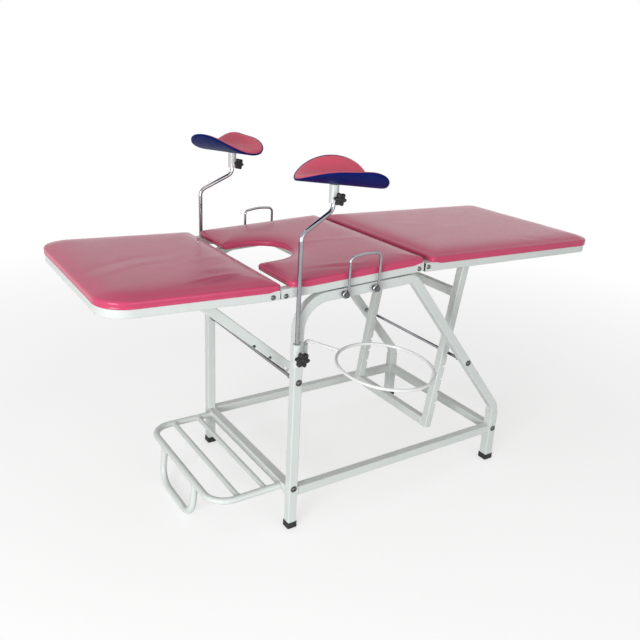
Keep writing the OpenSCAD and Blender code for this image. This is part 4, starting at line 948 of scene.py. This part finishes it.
# Hand grips: one rod that starts in an eye, runs up, over a low arch and down to a second eye. "below" is how
# far the eyes' bolts are under the seat's pin line.
grip = {"d": 8.0, "x": 158.0, "span": 104.0, "height": 104.0, "y": 312.0, "corner": 15.0, "arch": 6.0,
        "archRadius": 180, "eye": 8.0, "eyeFrom": -270, "eyePoints": 40, "start": 1, "below": 45.5,
        "around": 24}


# Height of the eyes' bolts, on a line along the seat rail
def railLine(x):
    pinX, pinZ, degrees = table["seat"]
    tilt = math.radians(-degrees)
    return pinZ + (x - pinX) * math.tan(tilt) - grip["below"] / math.cos(tilt)


# Three quarters of a circle beside the upright, about the bolt at (x - eye, z), ending at the upright's foot
def eyeLoop(x, z):
    w = np.radians(np.linspace(grip["eyeFrom"], 0, grip["eyePoints"]))
    across, up = x + grip["eye"] * (np.cos(w) - 1), z + grip["eye"] * np.sin(w)
    return np.stack([across, np.full(len(w), -grip["y"]), up], -1)


x0, x1 = grip["x"], grip["x"] + grip["span"]
z0, z1 = railLine(x0), railLine(x1)
corners = [(x0, z0 + grip["start"]), (x0, z0 + grip["height"]),
           ((x0 + x1) / 2, (z0 + z1) / 2 + grip["height"] + grip["arch"]),
           (x1, z1 + grip["height"]), (x1, z1 + grip["start"])]
arch = rounded([(x, -grip["y"], z) for x, z in corners], [grip["corner"], grip["archRadius"], grip["corner"]])
gripPath = np.concatenate([eyeLoop(x0, z0), arch, eyeLoop(x1, z1)[::-1]])
nearGrip = rod(gripPath, grip["d"] / 2, grip["around"])
for side, made in (("near", nearGrip), ("far", mirroredY(*nearGrip))):
    piece = addPiece("handGrip" + side.title(), *made, chrome, "base", "chrome")
    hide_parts("hand_grip_" + side)
print("fasteners made")


# Weld beads. "laid": points every step, a radius that swells every pitch and sways over a longer run. Places
# on the base are (x, distance from the middle, height), the axis that a bead goes round and its radius; a round
# one has its tube's own radius first. "seams" are straight. On a section each cross rail has an x and a height,
# and on a prop each bar a distance from its pivot (x, z) along arms that lean by degrees.
weld = {"laid": {"step": 0.8, "least": 12, "pitch": 3.2, "swell": 0.13, "swayRun": 11.3, "sway": 0.1,
                 "around": 8},
        "radius": 2.0, "tubeHalf": 14.2, "tubeCorner": 3.0, "around": 48,
        "squares": [((28.2, 286, 127), "x", 2.0), ((825.8, 286, 127), "x", 2.0), ((14, 271.8, 127), "y", 2.0),
                    ((842, 269.8, 127), "y", 2.0), ((842, 286, 192.4), "z", 1.7)],
        "rounds": [((-0.3, 250, 130), "x", 10.6, 2.0), ((-139.86, 239.3, 130), "y", 8.1, 1.6),
                   ((-51.06, 239.3, 130), "y", 8.1, 1.6)],
        "seams": [((14.6, 300.4, 552), (14.6, 300.4, 613), 1.8)],
        "saddle": {"x": -222, "y": 120, "z": 130, "half": 10.4, "tube": 10.6, "least": 0.5, "radius": 1.6},
        "sections": {"seat": ((190, 382), -14), "leg": ((-84, -264), 4), "back": ((60, 285, 560), -1.4)},
        "props": {"leg": {"pivot": (-265, 757), "lean": 40.88, "bars": (62,)},
                  "back": {"pivot": (705, 755), "lean": 98.87, "bars": (128, 600)}},
        "propInside": 185.8}


# A bead along a line: its radius swells and sinks every pitch, as laid drops do
def bead(path, radius=weld["radius"], closed=True):
    p, laid = np.asarray(path, float), weld["laid"]
    if closed:
        p = np.concatenate([p, p[:1]])
    s = runAlong(p)
    even = np.linspace(0, s[-1], max(laid["least"], int(s[-1] / laid["step"])), endpoint=not closed)
    q = np.stack([np.interp(even, s, p[:, k]) for k in range(3)], -1)
    drops = laid["swell"] * np.sin(even / laid["pitch"] * 2 * pi)
    sway = laid["sway"] * np.sin(even / laid["swayRun"])
    return rod(q, radius * (1 + drops + sway), laid["around"], closed)


# A loop of (u, v) points set square to an axis, about a centre
def squareTo(axis, loop, centre):
    return np.insert(loop, "xyz".index(axis), 0.0, axis=1) + centre


# Outline of a square tube's end, a little over its face
def tubeLoop(centre, axis):
    return squareTo(axis, squareLoop(weld["tubeHalf"], weld["tubeCorner"]), centre)


# Where a round leg of radius half meets the under side of a round tube along y: x + half cos w, y + tube sin w,
# z - sqrt(tube ^ 2 - (half cos w) ^ 2)
def saddleLoop(side):
    d, w = weld["saddle"], aroundCircle(weld["around"])
    drop = np.sqrt(np.maximum(d["tube"] ** 2 - (d["half"] * np.cos(w)) ** 2, d["least"]))
    return np.stack([d["x"] + d["half"] * np.cos(w), side * d["y"] + d["tube"] * np.sin(w), d["z"] - drop], -1)


w = aroundCircle(weld["around"])
circle = np.stack([np.cos(w), np.sin(w)], -1)
beads = {"seat": [], "leg": [], "back": []}
for side in (-1, 1):
    fixed, across = beads["seat"], np.array([1, side, 1])
    fixed += [bead(tubeLoop(across * place, axis), radius) for place, axis, radius in weld["squares"]]
    for place, axis, tube, radius in weld["rounds"]:
        fixed.append(bead(squareTo(axis, circle * tube, across * place), radius))
    fixed += [bead([across * start, across * end], radius, False) for start, end, radius in weld["seams"]]
    fixed.append(bead(saddleLoop(side), weld["saddle"]["radius"]))
    for key, place in (("seat", onSeat), ("leg", onLeg), ("back", onBack)):
        rails, z = weld["sections"][key]
        beads[key] += [bead(place(tubeLoop((x, side * table["tubeInside"], z), "y"))) for x in rails]
for name, key, body in (("frameWelds", "seat", "base"), ("legFrameWelds", "leg", "leg_section"),
                        ("backFrameWelds", "back", "back_section")):
    addPiece(name, *joined(beads[key]), weldPaint, body, "frame_paint")
for key, prop in weld["props"].items():
    place = section(*prop["pivot"], prop["lean"])
    ends = [(bar, side * weld["propInside"], 0) for bar in prop["bars"] for side in (-1, 1)]
    made = [bead(place(tubeLoop(end, "y"))) for end in ends]
    addPiece(key + "PropWelds", *joined(made), weldPaint, key + "_prop", "frame_paint")
print("welds made")

# Floor and room: near the table the floor takes light and shadow; over "fade", in metres from the middle, it
# turns into the white backdrop. "glow" is its own white at the two ends, "ambient" the light the room gives.
room = {"size": 30.0, "level": -0.0005, "rough": 0.9, "near": (0.55, 0.55, 0.55, 1), "far": (0.0, 0.0, 0.0, 1),
        "fade": (1.3, 3.2), "glow": (0.60, 1.0), "ambient": 0.36}
white = (1, 1, 1, 1)

floorPaint, tree, principled, position = newMaterial("floorPaint", {
    "Roughness": room["rough"], "Specular IOR Level": 0.0})
fade = mapped(tree, vectorMaths(tree, "LENGTH", {0: position})["Value"], room["fade"])
feed(tree, principled, {"Base Color": mixed(tree, fade, room["near"], room["far"])})
path = node(tree, "ShaderNodeLightPath").outputs
seen = maths(tree, "ADD", path["Is Camera Ray"], path["Is Glossy Ray"], True)
strength = times(tree, seen, mapped(tree, fade, (0.0, 1.0), *room["glow"]))
glow = node(tree, "ShaderNodeEmission", {"Color": white, "Strength": strength})
summed = node(tree, "ShaderNodeAddShader", {0: principled.outputs[0], 1: glow.outputs[0]})
tree.links.new(summed.outputs[0], tree.nodes["Material Output"].inputs["Surface"])

far, level = room["size"], room["level"]
mesh = bpy.data.meshes.new("floor")
ends = ((-far, -far), (far, -far), (far, far), (-far, far))
mesh.from_pydata([(x, y, level) for x, y in ends], [], [(0, 1, 2, 3)])
mesh.materials.append(floorPaint)
floor = bpy.data.objects.new("floor", mesh)
scene.collection.objects.link(floor)

# The room looks white to the camera, and in gloss and glass, and lights the table at its plain level
world = bpy.data.worlds.new("paleRoom")
scene.world = world
world.use_nodes = True
tree = world.node_tree
path = node(tree, "ShaderNodeLightPath").outputs
seen = maths(tree, "ADD", maths(tree, "ADD", path["Is Camera Ray"], path["Is Glossy Ray"]),
             path["Is Transmission Ray"], True)
strength = maths(tree, "ADD", room["ambient"], times(tree, seen, 1 - room["ambient"]))
feed(tree, tree.nodes["Background"], {"Color": white, "Strength": strength})

# Square lamps: place and aim in metres, side of the square, power in watts
lamps = {"keyLamp": {"place": (-3.6, -2.3, 1.05), "aim": (0.0, 0.0, 0.35), "size": 1.8, "power": 118.0},
         "fillLamp": {"place": (0.2, -3.9, 0.7), "aim": (0.0, 0.0, 0.3), "size": 2.2, "power": 36.0},
         "topLamp": {"place": (-0.6, 0.4, 4.2), "aim": (0.0, 0.0, 0.6), "size": 2.0, "power": 6.0}}
for name, lamp in lamps.items():
    data = bpy.data.lights.new(name, "AREA")
    data.size, data.energy = lamp["size"], lamp["power"]
    made = bpy.data.objects.new(name, data)
    made.location = lamp["place"]
    made.rotation_mode = "QUATERNION"
    made.rotation_quaternion = (Vector(lamp["aim"]) - Vector(lamp["place"])).to_track_quat("-Z", "Y")
    scene.collection.objects.link(made)

# Camera at the photograph's own place and direction, in the table's millimetres and degrees
view = {"place": (-941.54, -1814.98, 1358.215), "yaw": -33.88910, "pitch": 20.74756, "roll": 3.04054,
        "lens": 39.917, "sensor": 36.0, "clipEnd": 100.0}
yaw, pitch = math.radians(view["yaw"]), math.radians(view["pitch"])
ahead = np.array([-math.sin(yaw) * math.cos(pitch), math.cos(yaw) * math.cos(pitch), -math.sin(pitch)])
across = np.array([math.cos(yaw), math.sin(yaw), 0.0])
right, up = turnedBy(across, np.cross(across, ahead), -view["roll"])
camera = bpy.data.objects.new("camera", bpy.data.cameras.new("camera"))
camera.data.lens, camera.data.sensor_width = view["lens"], view["sensor"]
camera.data.clip_end = view["clipEnd"]
camera.matrix_world = Matrix.Translation(toPart(view["place"])) @ Matrix(
    np.column_stack([right, up, -ahead]).tolist()).to_4x4()
scene.collection.objects.link(camera)
scene.camera = camera
scene.view_settings.view_transform = "Standard"
print("camera and light made")

bpy.context.view_layer.update()
